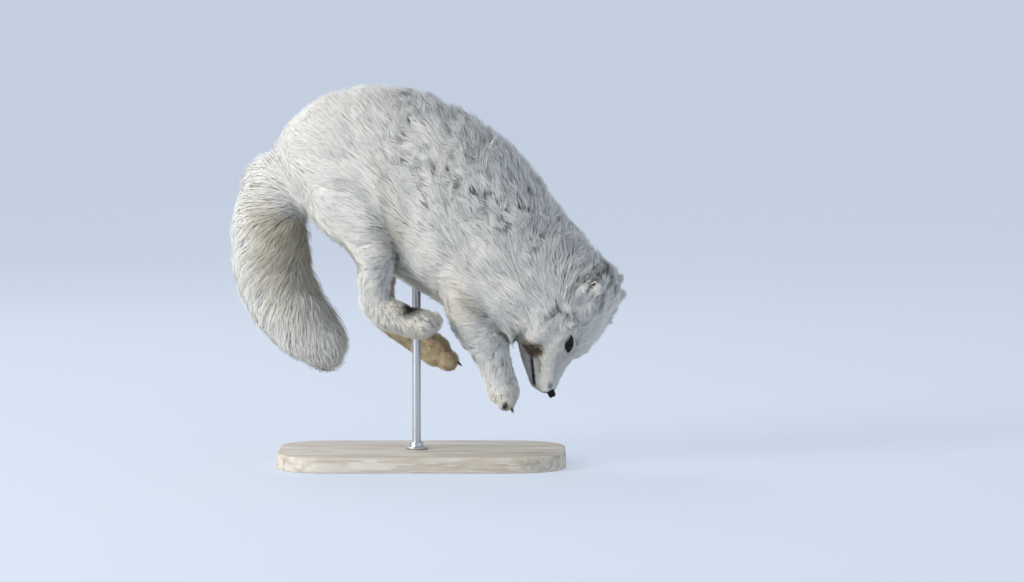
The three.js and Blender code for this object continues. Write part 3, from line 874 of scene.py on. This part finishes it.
def marksOf():
    x, y, z = skinPoints.T / mm
    nearFoot = ((skinPoints - np.array(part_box("hind_foot_right")[0])) / mm)[:, [0, 2]]
    crook = highest(*(blob(nearFoot, *egg, 0.35) for egg in markings["crooks"])) * (y < 0)
    crook = crook * on("hind_foot", "shank")
    eitherSide = np.stack([headPlaces[:, 0], abs(headPlaces[:, 1]), headPlaces[:, 2]], 1)
    throat, cheek, bridge = (blob(eitherSide, *markings[name]) for name in ("throat", "cheek", "bridge"))
    stain = np.maximum(throat, cheek * markings["cheekStain"]) * onHead
    clawMark = blob(np.stack([x, z], 1), *markings["claw"], 0.4) * on("fore_paw") * (y < 0)
    cream = sum(share * on(family) for family, share in markings["cream"])
    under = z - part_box("fore_paw_right")[0].z / mm
    cream = cream + markings["soleCream"] * on("fore_paw") * fall(under, *markings["sole"])
    tan = sum(share * (skinNode == node) for node, share in markings["tan"])
    lipDark = faceShape["lipDark"]
    lowerLip = fall(-lipUp, lipDark - 1.5, lipDark + 0.5) * (lipUp < 0)
    lips = lipShare * onHead * np.maximum(fall(abs(lipUp), 1.5, 2.7), lowerLip)
    # painted shade over the muzzle, fading out towards the eyes
    muzzle = markings["muzzleDark"] * fall(headPlaces[:, 0], *markings["muzzleFades"]) * onHead
    # painted shade round the eyes
    eyeShade = markings["haloDark"] * fall(liner, *markings["haloWide"])
    # painted shade in the furrows between the toes
    furrow = markings["furrowDark"] * skinNet.calm(toeFurrow, 1)
    # the dark mark: the real black lips, eye rims, nose pad and a claw, with painted shade round the eyes,
    # over the muzzle, beside the nose and between the toes
    dark = highest(lips, fall(liner, *markings["linerEdge"]), eyeShade, clawMark, muzzle, furrow,
                   fall(padGap, *markings["padDark"]), bridge * markings["bridgeDark"])
    grey = markings["woolGrey"] * growth["wool"] + markings["bodyGrey"] * on("trunk", "neck")
    grey = grey + markings["faceGrey"] * growth["face"]
    return {
        "cream": skinNet.calm(np.clip(cream, 0, 1), 14), "tan": skinNet.calm(tan, 10),
        "brown": skinNet.calm(shadeAndBrownOf(x, z), 10), "stain": stain,
        "grey": skinNet.calm(np.clip(grey, 0, 1), 12), "dark": np.maximum(dark, skinNet.calm(crook, 2)),
        "hollow": skinNet.calm(earHollow, 1),
    }


marks = marksOf()


coatNoise = {  # scale, detail, roughness
    "patches": (38, 3, 0.6), "mottle": (110, 4, 0.6), "broad": (14, 3, 0.55),
    "tufts": (1400, 3, 0.7), "skin": (900, 3, 0.7),
}
coatBump = {"tufts": 0.4, "skin": 0.9}


def coatPaint(over):  # for the tufts or the skin
    paint = Paint("coat_" + over)
    patches = paint.noise(*coatNoise["patches"])
    mottle = paint.between(paint.noise(*coatNoise["mottle"]), 0.3, 0.65)
    broad = paint.between(paint.noise(*coatNoise["broad"]), 0.35, 0.75)
    root = paint.blend(paint.carried("grey"), coatColours["root"], coatColours["grey"])
    lit = paint.carried("tip") + (patches - 0.5) * coatColours["patchy"]
    lit = lit - paint.carried("deep") * coatColours["deepShade"]
    colour = paint.blend(paint.between(lit, 0.0, 0.6), root, coatColours["tip"])
    colour = paint.blend(paint.carried("luck") * coatColours["shadeOfTufts"], colour, coatColours["root"])
    colour = paint.blend(broad * coatColours["warmth"], colour, coatColours["cream"])
    colour = paint.blend((1 - mottle) * coatColours["dapple"], colour, coatColours["grey"])
    colour = paint.blend(paint.carried("cream") * (0.5 + mottle * 0.5), colour, coatColours["cream"])
    fawn = paint.blend(mottle, coatColours["fawn"], coatColours["tan"])
    colour = paint.blend(paint.carried("tan") * (0.72 + mottle * 0.2), colour, fawn)
    # painted olive shade inside the tail, in the flank, armpit and folds, with a slight real brown tint
    # inside the tail
    colour = paint.blend(paint.carried("brown") * (0.75 + mottle * 0.25), colour, coatColours["brown"])
    streaks = paint.carried("stain") * (paint.carried("luck") * 1.0 + mottle * 0.7 + 0.25)
    colour = paint.blend(paint.between(streaks, 0.2, 0.6), colour, coatColours["rust"])
    colour = paint.blend(paint.between(streaks, 0.55, 0.95), colour, coatColours["stain"])
    # painted shade in the ears' hollows
    colour = paint.blend(paint.carried("hollow") * 0.95, colour, coatColours["umber"])
    colour = paint.blend(paint.carried("dark"), colour, coatColours["dark"])
    fine = paint.noise(*coatNoise[over])
    rough = coatColours["rough"] - paint.carried("dark") * 0.3
    return paint.finish({"Base Color": colour, "Roughness": rough, "Sheen Weight": coatColours["sheen"],
                         "Sheen Roughness": 0.5, "Specular IOR Level": 0.25,
                         "Normal": paint.bump(fine, coatBump[over], 0.0004)})


def placeSkin():
    mesh = meshFrom("fox_skin", skinPoints, skinTriangles)
    for name, values in marks.items():
        carry(mesh, name, values)
    carry(mesh, "tip", np.maximum(growth["face"], 0.15))
    carry(mesh, "deep", np.zeros(len(skinPoints)))
    carry(mesh, "luck", np.full(len(skinPoints), 0.3))
    skin = placed(mesh, coatPaint("skin"))
    mesh.uv_layers.new(name="OFBake")
    bpy.context.view_layer.objects.active = skin
    skin.select_set(True)
    bpy.ops.object.mode_set(mode="EDIT")
    bpy.ops.mesh.select_all(action="SELECT")
    bpy.ops.uv.smart_project(angle_limit=1.15, island_margin=0.004)
    bpy.ops.object.mode_set(mode="OBJECT")
    skin.select_set(False)
    handOver(skin, "coat", *fleshNodes)
    flat = np.empty(len(mesh.loops) * 2, np.float32)
    mesh.uv_layers["OFBake"].data.foreach_get("uv", flat)
    return flat.reshape(-1, 3, 2).astype(float)


skinPatches = placeSkin()
print("skin placed")

# the fur: closed tufts that follow the lie over the skin
ground = treeOf(skinPoints, skinTriangles)


def onSkin(points):  # the nearest place of the skin, its triangle and the share of each corner
    found = [ground.find_nearest(point) for point in points.tolist()]
    place = np.array([hit[0][:] for hit in found])
    face = np.array([hit[2] for hit in found])
    a, b, c = (skinPoints[skinTriangles[face, k]] for k in range(3))
    ab, ac, ap = b - a, c - a, place - a
    bb, bc, cc, pb, pc = dot(ab, ab), dot(ab, ac), dot(ac, ac), dot(ap, ab), dot(ap, ac)
    whole = np.maximum(bb * cc - bc * bc, 1e-20)
    second, third = (cc * pb - bc * pc) / whole, (bb * pc - bc * pb) / whole
    shares = np.clip(np.stack([1 - second - third, second, third], 1), 0, 1)
    return place, face, shares / shares.sum(1, keepdims=True)


def at(values, face, shares):
    corners = values[skinTriangles[face]]
    return (corners * (shares if corners.ndim == 2 else shares[..., None])).sum(1)


def rootsOf():  # where the tufts stand, and how many of them a square millimetre holds
    a, b, c = (skinPoints[skinTriangles[:, k]] for k in range(3))
    area = np.linalg.norm(np.cross(b - a, c - a), axis=1) / 2
    close = (1 / growth["roots"] ** 2) * (1 - growth["bare"])
    total = np.cumsum(area * close[skinTriangles].mean(1))
    wanted = total[-1] / (mm * mm)
    count = int(min(wanted, coatRule["tufts"]))
    print("tufts wanted", int(wanted), "made", count)
    pick = (np.arange(count) + chance.random(count)) / count * total[-1]
    face = np.minimum(np.searchsorted(total, pick), len(total) - 1)
    u, v = chance.random(count), chance.random(count)
    over = u + v > 1
    u, v = np.where(over, 1 - u, u), np.where(over, 1 - v, v)
    shares = np.stack([1 - u - v, u, v], 1)
    return face, shares, at(close, face, shares) * count / wanted


levels = np.array([0.0, 0.5, 1.0])  # the stations of a tuft


def locksOf(roots, crowd, size):  # the leading tuft of each lock, and 1 at its middle, 0 at its rim
    leading = np.flatnonzero(chance.random(len(roots)) < 1 / (np.maximum(crowd, 0.05) * size ** 2))
    tree = KDTree(len(leading))
    for k in leading:
        tree.insert(roots[k], int(k))
    tree.balance()
    found = [tree.find_n(root, 2) for root in roots.tolist()]
    leader = np.array([pair[0][1] for pair in found])
    first, second = (np.array([pair[k][2] for pair in found]) for k in range(2))
    return leader, ramp((second - first) / (second + first + 1e-9), 0, 0.5)


def pathsOf(face, shares, turn, high, reach, rise):
    place, normal = at(skinPoints, face, shares), unit(at(skinNormals, face, shares))
    lie = unit(at(skinLie, face, shares))
    way = unit(lie + np.cross(normal, lie) * turn[:, None])
    stations, normals = [place - normal * coatRule["rootIn"] * mm], [normal]
    here = place
    for low, top in zip(levels[:-1], levels[1:]):
        spot, onFace, part = onSkin(here + way * (reach * (top - low))[:, None])
        out = unit(at(skinNormals, onFace, part))
        lie = unit(at(skinLie, onFace, part))
        way = unit(lie + np.cross(out, lie) * turn[:, None])
        spare = at(room, onFace, part) * np.maximum(rise, 1)
        tall = high * (1 - (1 - top) ** 2)
        tall = np.minimum(tall, np.maximum(spare * 1.15, tall * 0.5))
        stations.append(spot + out * tall[:, None])
        normals.append(out)
        here = spot
    return np.stack(stations, 1), np.stack(normals, 1)


def gather(paths, leader, strength, tightness):  # leans tufts to the leading tuft of their lock
    offset = (paths[:, 0] - paths[leader, 0])[:, None, :]
    pull = (levels ** 1.3)[None, :, None] * strength[:, None, None]
    return paths + (paths[leader] + offset * tightness - paths) * pull


# a tuft: root, three corners round its middle, tip
tuftSides = np.array([[0, 1, 2], [0, 2, 3], [0, 3, 1], [1, 4, 2], [2, 4, 3], [3, 4, 1]])
tuftAlong = np.array([0, 0.5, 0.5, 0.5, 1.0])
tuftAcross = np.array([0.5, 0, 0.5, 1, 0.5])


def heightsOf(roots, spare, field, lockRise, middle):  # how high each tuft stands, and which ones stray
    woolly, count = field["wool"], len(roots)
    rise = field["rise"] * (1 + lockRise * wool["uneven"] * woolly)
    for size, amount in zip(coatRule["lumpSizes"], coatRule["lumps"]):
        lumps = np.clip(lumpsOf(roots / mm, size), -1.3, 1.3)
        rise = rise * (1 + amount * lumps * (1 - 0.7 * field["face"]))
    dip = wool["dip"] * woolly * (1 + 0.5 * field["ruff"]) * (1 - middle)
    rise = rise * (1 - dip + wool["crest"] * woolly * middle)
    high = spare * (1 - coatRule["low"] * chance.random(count) ** 1.7) * rise
    stray = chance.random(count) < coatRule["strays"]
    more = coatRule["strayMore"] * (1 - 0.6 * field["face"])
    return np.where(stray, high * coatRule["strayRise"] + more, high), stray


def tuftForms(paths, normals, wide):  # the corners of each tuft, and the way each of them shades
    count, soft = len(paths), coatRule["softNormals"]
    points, shades = np.empty((count, 5, 3)), np.empty((count, 5, 3))
    points[:, 0], shades[:, 0] = paths[:, 0], normals[:, 0]
    points[:, 4], shades[:, 4] = paths[:, 2], normals[:, 2]
    ahead = unit(paths[:, 2] - paths[:, 0])
    side = unit(np.cross(ahead, normals[:, 1]))
    above = np.cross(side, ahead)
    for k, angle in enumerate((90, 210, 330)):
        flat = side * math.cos(math.radians(angle)) + above * math.sin(math.radians(angle)) * 0.6
        points[:, 1 + k] = paths[:, 1] + flat * (wide / 2)[:, None]
        shades[:, 1 + k] = unit(unit(flat) * (1 - soft) + normals[:, 1] * soft)
    return points, shades


def growCoat():
    face, shares, crowd = rootsOf()
    count = len(face)
    roots = at(skinPoints, face, shares)
    field = {name: at(values, face, shares) for name, values in growth.items()}
    woolly, ruff = field["wool"], field["ruff"]
    leader, middle = locksOf(roots, crowd, field["size"])
    lockTurn, lockRise = (chance.normal(0, 1, count)[leader] for _ in range(2))
    phase = chance.uniform(0, 2 * math.pi, count)[leader] + chance.normal(0, 0.5, count)
    turn = lockTurn * (coatRule["lockTurn"] + wool["turn"] * woolly * (1 + 0.5 * ruff))
    turn = turn + chance.normal(0, coatRule["jitter"], count)
    high, stray = heightsOf(roots, at(room, face, shares), field, lockRise, middle)
    reach = field["reach"] * mm * chance.uniform(*coatRule["reach"], count)
    paths, normals = pathsOf(face, shares, turn, high, reach, field["rise"])
    pull = np.clip(field["lock"] + wool["pull"] * woolly + wool["ruffPull"] * ruff, 0, 0.85)
    paths = gather(paths, leader, pull, coatRule["tight"])
    small = locksOf(roots, crowd, np.full(count, coatRule["fineLock"]))[0]
    paths = gather(paths, small, np.full(count, coatRule["finePull"]), coatRule["tight"])
    sideways = unit(np.cross(normals[:, 0], paths[:, 1] - paths[:, 0]))
    wave = (field["wave"] * (1 + wool["curl"] * woolly))[:, None]
    swing = np.sin(phase[:, None] + levels * 4.5) * levels * wave * mm
    paths = paths + sideways[:, None, :] * swing[:, :, None]
    wide = field["wide"] * mm * chance.uniform(*coatRule["wide"], count)
    tilt = chance.normal(0, coatRule["lockTilt"], (count, 3))[leader] * (1 + 0.2 * woolly)[:, None]
    tilt = tilt + chance.normal(0, coatRule["tuftTilt"], (count, 3))
    normals = unit(normals + (tilt * (1 - 0.5 * field["face"])[:, None])[:, None, :])
    points, shades = tuftForms(paths, normals, wide * np.where(stray, coatRule["strayWide"], 1))
    carried = {name: at(values, face, shares) for name, values in marks.items()}
    # painted shade at the rims of the woolly locks, more in the ruff
    carried["deep"] = woolly * (1 - middle) * (1 + wool["ruffDeep"] * ruff)
    carried["luck"] = chance.random(count)
    patch = (skinPatches[face] * shares[..., None]).sum(1)
    return points, shades, carried, patch, skinFamily[skinTriangles[face, 0]]


coatPieces = {
    "head": ("head", "ear"), "neck": ("neck",), "trunk": ("trunk",), "tail": tail,
    "forelegs": ("upper_arm", "forearm", "fore_paw"), "hind_legs": ("thigh", "shank", "hind_foot"),
}


def placeCoat():
    points, shades, carried, patch, family = growCoat()
    paint = coatPaint("tufts")
    corners = len(tuftAlong)
    for part, members in coatPieces.items():
        chosen = np.flatnonzero(np.isin(family, members))
        pieces = max(1, math.ceil(len(chosen) / coatRule["mostTufts"]))
        for number, some in enumerate(np.array_split(chosen, pieces), 1):
            name = f"coat_{part}_{number}"
            count = len(some)
            sides = (tuftSides[None] + np.arange(count)[:, None, None] * corners).reshape(-1, 3)
            mesh = meshFrom(name, points[some].reshape(-1, 3), sides)
            carry(mesh, "tip", np.tile(tuftAlong, count))
            for mark, values in carried.items():
                carry(mesh, mark, np.repeat(values[some], corners))
            mesh.attributes.new("custom_normal", "FLOAT_VECTOR", "POINT").data.foreach_set(
                "vector", shades[some].reshape(-1).astype(np.float32))
            spot = np.stack([tuftAcross, tuftAlong], 1)[tuftSides] - 0.5
            flat = patch[some][:, None, None, :] + spot[None] * coatRule["patch"]
            mesh.uv_layers.new(name="OFBake").data.foreach_set("uv", flat.reshape(-1).astype(np.float32))
            handOver(placed(mesh, paint), "coat")
    print("coat", len(points), "tufts", len(points) * len(tuftSides), "triangles")


placeCoat()

eye = {
    "around": 64, "bulge": 0.06, "bulgeWide": 0.5,
    "pupil": (0.28, 0.33), "iris": (0.68, 0.80), "white": (0.82, 0.90),  # angles of the soft borders
    "pupilColour": rgb(0.002, 0.002, 0.002), "irisColour": rgb(0.028, 0.012, 0.006),
    "rimColour": rgb(0.004, 0.003, 0.003), "whiteColour": rgb(0.012, 0.009, 0.008),
    "rough": 0.12, "coat": 0.15,
}


def eyePaint():
    paint = Paint("eye")
    angle = paint.carried("angle")
    streaks = paint.noise(1500, 3, 0.6)
    iris = paint.blend(paint.between(streaks, 0.35, 0.7), eye["irisColour"], eye["rimColour"])
    colour = paint.blend(paint.between(angle, *eye["pupil"]), eye["pupilColour"], iris)
    colour = paint.blend(paint.between(angle, *eye["iris"]), colour, eye["rimColour"])
    colour = paint.blend(paint.between(angle, *eye["white"]), colour, eye["whiteColour"])
    return paint.finish({"Base Color": colour, "Roughness": eye["rough"] + streaks * 0.04,
                         "Coat Weight": eye["coat"], "Coat Roughness": 0.03, "Specular IOR Level": 0.12})


def placeEyes():
    paint = eyePaint()
    for name, side in (("eye_right", -1), ("eye_left", 1)):
        centre, look, along, above = eyeFrame(side)
        places, sides = ball(np.zeros(3), np.ones(3), eye["around"])
        angle = np.arccos(np.clip(places[:, 2], -1, 1))
        radius = faceShape["eyeRadius"] * (1 + eye["bulge"] * np.exp(-(angle / eye["bulgeWide"]) ** 2))
        world = fromHead(centre + places @ np.stack([along, above, look]) * radius[:, None])
        mesh = meshFrom("shown_" + name, world, outward(world, sides))
        carry(mesh, "angle", angle)
        handOver(placed(mesh, paint), "eye", name)


placeEyes()
print("eyes")

nose = {
    "half": (6.0, 6.6, 5.9), "slant": 0.40, "taper": 0.55, "narrow": 0.34, "around": 96,
    "nostrils": ((-0.74, 0.52, -0.16), 0.20, 1.3),  # the way to its middle, width and depth
    "slots": ((-0.42, 0.86, -0.28), 0.14, 0.9),
    "groove": 0.7, "grooveWide": 0.6,
    "colour": rgb(0.003, 0.003, 0.004), "paler": rgb(0.008, 0.008, 0.009), "rough": 0.5,
}


def nosePaint():
    paint = Paint("nose")
    pebbles = paint.node("ShaderNodeTexVoronoi", {"feature": "DISTANCE_TO_EDGE"},
                         {"Vector": paint.place(), "Scale": 1100})
    soft = paint.noise(260, 3, 0.55)
    colour = paint.blend(paint.between(pebbles * 2 + soft * 0.5, 0.2, 0.9), nose["colour"], nose["paler"])
    return paint.finish({"Base Color": colour, "Roughness": nose["rough"] + soft * 0.2,
                         "Specular IOR Level": 0.15, "Normal": paint.bump(pebbles, 0.55, 0.0003)})


def placeNose():
    places, sides = ball(np.zeros(3), np.ones(3), nose["around"])
    way = places[:, [2, 0, 1]]
    shape = way * np.array(nose["half"])
    for where, wide, deep in (nose["nostrils"], nose["slots"]):
        for side in (-1, 1):
            spot = unit(np.array(where) * [1, side, 1])
            dip = deep * np.exp(-((1 - way @ spot) * 2) / wide ** 2)
            shape = shape * (1 - dip / np.linalg.norm(shape, axis=1))[:, None]
    cleft = nose["groove"] * np.exp(-(shape[:, 1] / nose["grooveWide"]) ** 2)
    shape[:, 0] += cleft * fall(way[:, 0], -0.5, 0) * fall(way[:, 2], -0.3, 0.2)
    shape[:, 1] *= 1 - nose["narrow"] * fall(way[:, 2], -0.9, 0.2)
    shape[:, 2] *= 1 - nose["taper"] * ramp(-way[:, 0], 0, 1)
    shape[:, 0] -= nose["slant"] * shape[:, 2]
    world = fromHead(shape + faceShape["padAt"])
    mesh = meshFrom("shown_nose", world, outward(world, sides))
    handOver(placed(mesh, nosePaint()), "nose", "nose")


placeNose()
print("nose")

claw = {
    "rings": 14, "around": 16, "thick": 1.8, "flat": 0.78, "point": 0.12, "inToe": 4.0,
    "shown": 0.78, "hidden": {"hind_foot_right": 0.3},  # how much of its length shows, less on this foot
    "root": 0.2, "middle": (0.3, 0.75),
    "horn": rgb(0.035, 0.030, 0.028), "worn": rgb(0.20, 0.17, 0.14), "rough": 0.34,
}


def clawPaint():
    paint = Paint("claw")
    bands = paint.noise(700, 4, 0.6)
    share = paint.carried("along")
    colour = paint.blend(paint.between(share + (bands - 0.5) * 0.5, 0.7, 1.2), claw["horn"], claw["worn"])
    return paint.finish({"Base Color": colour, "Roughness": claw["rough"] + bands * 0.2,
                         "Normal": paint.bump(bands, 0.25, 0.0002)})


def tubeSides(rings, around):  # two end points and rings between them
    sides = []
    for k in range(around):
        after = (k + 1) % around
        sides.append((0, 1 + after, 1 + k))
        for ring in range(rings - 1):
            a, b = 1 + ring * around, 1 + (ring + 1) * around
            sides += [(a + k, a + after, b + after), (a + k, b + after, b + k)]
        last = 1 + (rings - 1) * around
        sides.append((last + k, last + after, 1 + rings * around))
    return np.array(sides)


def clawForm(node, paw):
    points = pointsOf(frame["nodes"][node].data)
    far = np.linalg.norm(points - centreOf(paw), axis=1)
    tip = points[far.argmax()]
    base = points[far < np.quantile(far, claw["root"])].mean(0)
    tip = base + (tip - base) * claw["hidden"].get(paw, claw["shown"])
    axis = unit(tip - base)
    share = dot(points - base, axis) / np.linalg.norm(tip - base)
    middle = points[(share > claw["middle"][0]) & (share < claw["middle"][1])]
    middle = middle.mean(0) if len(middle) else (tip + base) / 2
    bend = middle - (tip + base) / 2
    bend = bend - axis * dot(bend, axis)
    base = base - axis * claw["inToe"] * mm
    steps = np.linspace(0, 1, claw["rings"])[:, None]
    line = base + (tip - base) * steps + bend * 4 * steps * (1 - steps)
    ahead = unit(np.gradient(line, axis=0))
    side = unit(np.cross(ahead, unit(bend) if np.linalg.norm(bend) > 1e-5 else np.array([0, 0, 1.0])))
    above = np.cross(side, ahead)
    size = (claw["thick"] * (1 - steps) ** 0.7 * (1 - 0.25 * (1 - steps) ** 4) + claw["point"]) * mm
    rings = []
    for k in range(claw["around"]):
        angle = 2 * math.pi * k / claw["around"]
        rings.append(line + side * math.cos(angle) * size * claw["flat"] + above * math.sin(angle) * size)
    rings = np.stack(rings, 1).reshape(-1, 3)
    return np.concatenate([base[None], rings, tip[None]]), steps[:, 0]


def placeClaws():
    paint = clawPaint()
    sides = tubeSides(claw["rings"], claw["around"])
    for node in frame["nodes"]:
        if "claw" not in node:
            continue
        limb, _, rest = node.partition("_claw_")
        paw = ("fore_paw_" if limb == "fore" else "hind_foot_") + rest.split("_")[0]
        points, steps = clawForm(node, paw)
        mesh = meshFrom("shown_" + node, points, outward(points, sides))
        carry(mesh, "along", np.concatenate([[0], np.repeat(steps, claw["around"]), [1]]))
        handOver(placed(mesh, paint), "claw", node)


placeClaws()
print("claws")

stand = {
    "corner": 60 * mm, "round": 3.2 * mm, "foot": 1.2 * mm, "cornerSteps": 24, "roundSteps": 6,
    "rodSides": 64, "rodRound": 1.0 * mm, "rodRings": 12,
    "collarGap": 0.05 * mm, "collarRound": 0.8 * mm, "neck": 3.0 * mm, "neckFoot": 3.4 * mm,
    "pale": rgb(0.66, 0.60, 0.50), "grain": rgb(0.43, 0.36, 0.27), "limed": rgb(0.78, 0.75, 0.69),
    "steel": rgb(0.56, 0.57, 0.585), "smudged": rgb(0.47, 0.48, 0.50),
    "woodRough": 0.46, "steelRough": 0.27,
}


def woodPaint():
    paint = Paint("pale_ash")
    drawn = paint.drawnOut((1.6, 16, 16))
    sway = paint.noise(2.4, 2, 0.5, drawn)
    lines = paint.node("ShaderNodeTexNoise", {}, {"Vector": drawn, "Scale": 7.0, "Detail": 5,
                                                  "Roughness": 0.62, "Distortion": 0.5})
    fine = paint.drawnOut((22, 700, 300))
    pores = paint.noise(1.0, 2, 0.6, fine)
    colour = paint.blend(paint.between(lines + sway * 0.3, 0.5, 0.85), stand["pale"], stand["grain"])
    colour = paint.blend(paint.between(pores, 0.52, 0.72) * 0.6, colour, stand["limed"])
    return paint.finish({"Base Color": colour, "Roughness": stand["woodRough"] + pores * 0.2,
                         "Normal": paint.bump(pores + lines * 0.4, 0.35, 0.0003)})


def steelPaint():
    paint = Paint("brushed_steel")
    drawn = paint.drawnOut((900, 900, 14))
    brush = paint.noise(1.0, 3, 0.65, drawn)
    smudge = paint.noise(35, 3, 0.5)
    return paint.finish({"Base Color": paint.blend(smudge * 0.4, stand["steel"], stand["smudged"]),
                         "Metallic": 1.0, "Roughness": stand["steelRough"] + brush * 0.16 + smudge * 0.06,
                         "Normal": paint.bump(brush, 0.25, 0.0001)})


def wholeTurn(around):
    return np.arange(around) / around * 2 * math.pi


def ringsOf(profile, angles, x=0, y=0):  # a ring for each pair of a radius and a height
    return np.concatenate([
        np.stack([x + wide * np.cos(angles), y + wide * np.sin(angles), np.full(len(angles), height)], 1)
        for wide, height in profile])


def turned(profile, centre, angles, x=0, y=0):  # a form of such rings, closed at both ends
    under, over = ([[0, 0, profile[end][1]]] for end in (0, -1))
    points = np.concatenate([under, ringsOf(profile, angles, x, y), over]) + [centre[0], centre[1], 0]
    return points, outward(points, tubeSides(len(profile), len(angles)))


def roundEdge(radius, height, size, steps, rising):  # points on a quarter round, by radius and height
    angles = np.linspace(0, math.pi / 2, steps)
    if rising:
        return [(radius - size + size * math.cos(t), height - size + size * math.sin(t)) for t in angles]
    return [(radius - size + size * math.sin(t), height + size - size * math.cos(t)) for t in angles]


def baseForm():  # the board with its rounded corners and edges
    low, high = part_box("stand_base")
    halfX, halfY = (high.x - low.x) / 2, (high.y - low.y) / 2
    ring = []
    for quarter, (sx, sy) in enumerate(((1, 1), (-1, 1), (-1, -1), (1, -1))):
        for step in np.linspace(0, math.pi / 2, stand["cornerSteps"] + 1):
            ring.append((sx * (halfX - stand["corner"]), sy * (halfY - stand["corner"]),
                         quarter * math.pi / 2 + step))
    x, y, angle = np.array(ring).T
    profile = roundEdge(stand["corner"], low.z, stand["foot"], 3, False)
    profile += roundEdge(stand["corner"], high.z, stand["round"], stand["roundSteps"], True)
    return turned(profile, (low + high) / 2, angle, x, y)


def rodForm():
    low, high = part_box("stand_rod")
    radius, rings = (high.x - low.x) / 2, stand["rodRings"]
    profile = roundEdge(radius, low.z, stand["rodRound"], 4, False) \
        + [(radius, mixed(low.z, high.z, k / rings)) for k in range(1, rings)] \
        + roundEdge(radius, high.z, stand["rodRound"], 4, True)
    return turned(profile, (low + high) / 2, wholeTurn(stand["rodSides"]))


def collarForm():  # a flat foot with a narrower neck round the rod
    rodLow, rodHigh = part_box("stand_rod")
    low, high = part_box("stand_collar")
    radius, wide, tall = (rodHigh.x - rodLow.x) / 2, (high.x - low.x) / 2, high.z - low.z
    inner, neck = radius + stand["collarGap"], radius + stand["neck"]
    profile = [(inner, low.z), (wide - 0.6 * mm, low.z), (wide - 0.1 * mm, low.z + 0.3 * mm),
               (wide, low.z + 0.7 * mm)]
    profile += roundEdge(wide, low.z + tall * 0.36, stand["collarRound"], 5, True)
    profile += [(radius + stand["neckFoot"], low.z + tall * 0.40), (neck, low.z + tall * 0.5)]
    profile += roundEdge(neck, high.z, stand["collarRound"], 5, True) + [(inner, high.z)]
    return turned(profile, (low + high) / 2, wholeTurn(stand["rodSides"]))


def placeStand():
    steel = steelPaint()
    for part, form, paint, slot in (("base", baseForm(), woodPaint(), "stand_wood"),
                                    ("rod", rodForm(), steel, "stand_steel"),
                                    ("collar", collarForm(), steel, "stand_steel")):
        piece = placed(meshFrom("shown_" + part, *form), paint)
        handOver(piece, slot, "stand_" + part)
        edges = piece.modifiers.new("edges", "EDGE_SPLIT")
        edges.split_angle = math.radians(50)


placeStand()
print("stand")

studio = {
    "floor": rgb(0.25, 0.275, 0.31), "floorPatches": rgb(0.29, 0.31, 0.335), "patchy": 0.35,
    "floorGlow": rgb(0.64, 0.71, 0.82), "floorGlows": 0.62,
    "floorSides": 96, "floorFlat": 6.0, "floorRise": 2.5,  # a wide round floor that rises at its rim
    "lamps": {  # power, colour, place, size
        "key": (104, (1.0, 0.97, 0.925), (-2.8, -1.75, 1.35), 1.5),
        "fill": (13, (0.80, 0.89, 1.0), (2.6, -2.6, 1.2), 2.4),
        "rim": (20, (1, 1, 1), (-1.2, 2.0, 2.2), 1.2),
    },
    "sky": rgb(0.76, 0.85, 1.0), "skyLight": 0.62,
    "distance": 5.03, "above": 4.0, "lens": 150, "aim": (0.0981, 0, -0.0193),
}


def placeStage():
    around, flat, rise = studio["floorSides"], studio["floorFlat"], studio["floorRise"]
    steps = np.linspace(0, math.pi / 2, 16)
    profile = [(0.01, 0), (flat / 2, 0)]
    profile += [(flat + rise * math.sin(t), rise - rise * math.cos(t)) for t in steps]
    points = ringsOf(profile, wholeTurn(around))
    sides = tubeSides(len(profile), around)
    sides = sides[(sides > 0).all(axis=1) & (sides <= len(points)).all(axis=1)] - 1
    paint = Paint("studio_paper")
    patches = paint.noise(1.2, 3, 0.5) * studio["patchy"]
    colour = paint.blend(patches, studio["floor"], studio["floorPatches"])
    paper = paint.finish({"Base Color": colour, "Roughness": 0.9, "Emission Color": studio["floorGlow"],
                          "Emission Strength": studio["floorGlows"]})
    placed(meshFrom("studio_floor", points, sides), paper)


def placeLight(name, power, colour, where, size):
    lamp = bpy.data.lights.new(name, "AREA")
    lamp.energy, lamp.color, lamp.size = power, colour, size
    thing = bpy.data.objects.new(name, lamp)
    bpy.context.scene.collection.objects.link(thing)
    thing.location = Vector(where)
    thing.rotation_mode = "QUATERNION"
    thing.rotation_quaternion = ((cadLow + cadHigh) / 2 - thing.location).to_track_quat("-Z", "Y")


def placeCamera():
    camera = bpy.data.objects.new("camera", bpy.data.cameras.new("camera"))
    bpy.context.scene.collection.objects.link(camera)
    aim = (cadLow + cadHigh) / 2 + Vector(studio["aim"])
    tilt = math.radians(studio["above"])
    back = Vector((0, -math.cos(tilt), math.sin(tilt)))
    camera.location = aim + back * studio["distance"]
    camera.rotation_mode = "QUATERNION"
    camera.rotation_quaternion = (-back).to_track_quat("-Z", "Y")
    camera.data.lens, camera.data.sensor_width = studio["lens"], 36
    camera.data.clip_end = 60
    bpy.context.scene.camera = camera
    bpy.context.scene.view_settings.view_transform = "Standard"


def placeSky():
    world = bpy.data.worlds.new("sky")
    world.use_nodes = True
    background = world.node_tree.nodes["Background"]
    background.inputs["Color"].default_value = studio["sky"]
    background.inputs["Strength"].default_value = studio["skyLight"]
    bpy.context.scene.world = world


placeStage()
for lampName, lampValues in studio["lamps"].items():
    placeLight(lampName, *lampValues)
placeSky()
placeCamera()
print("studio")

bpy.context.view_layer.update()
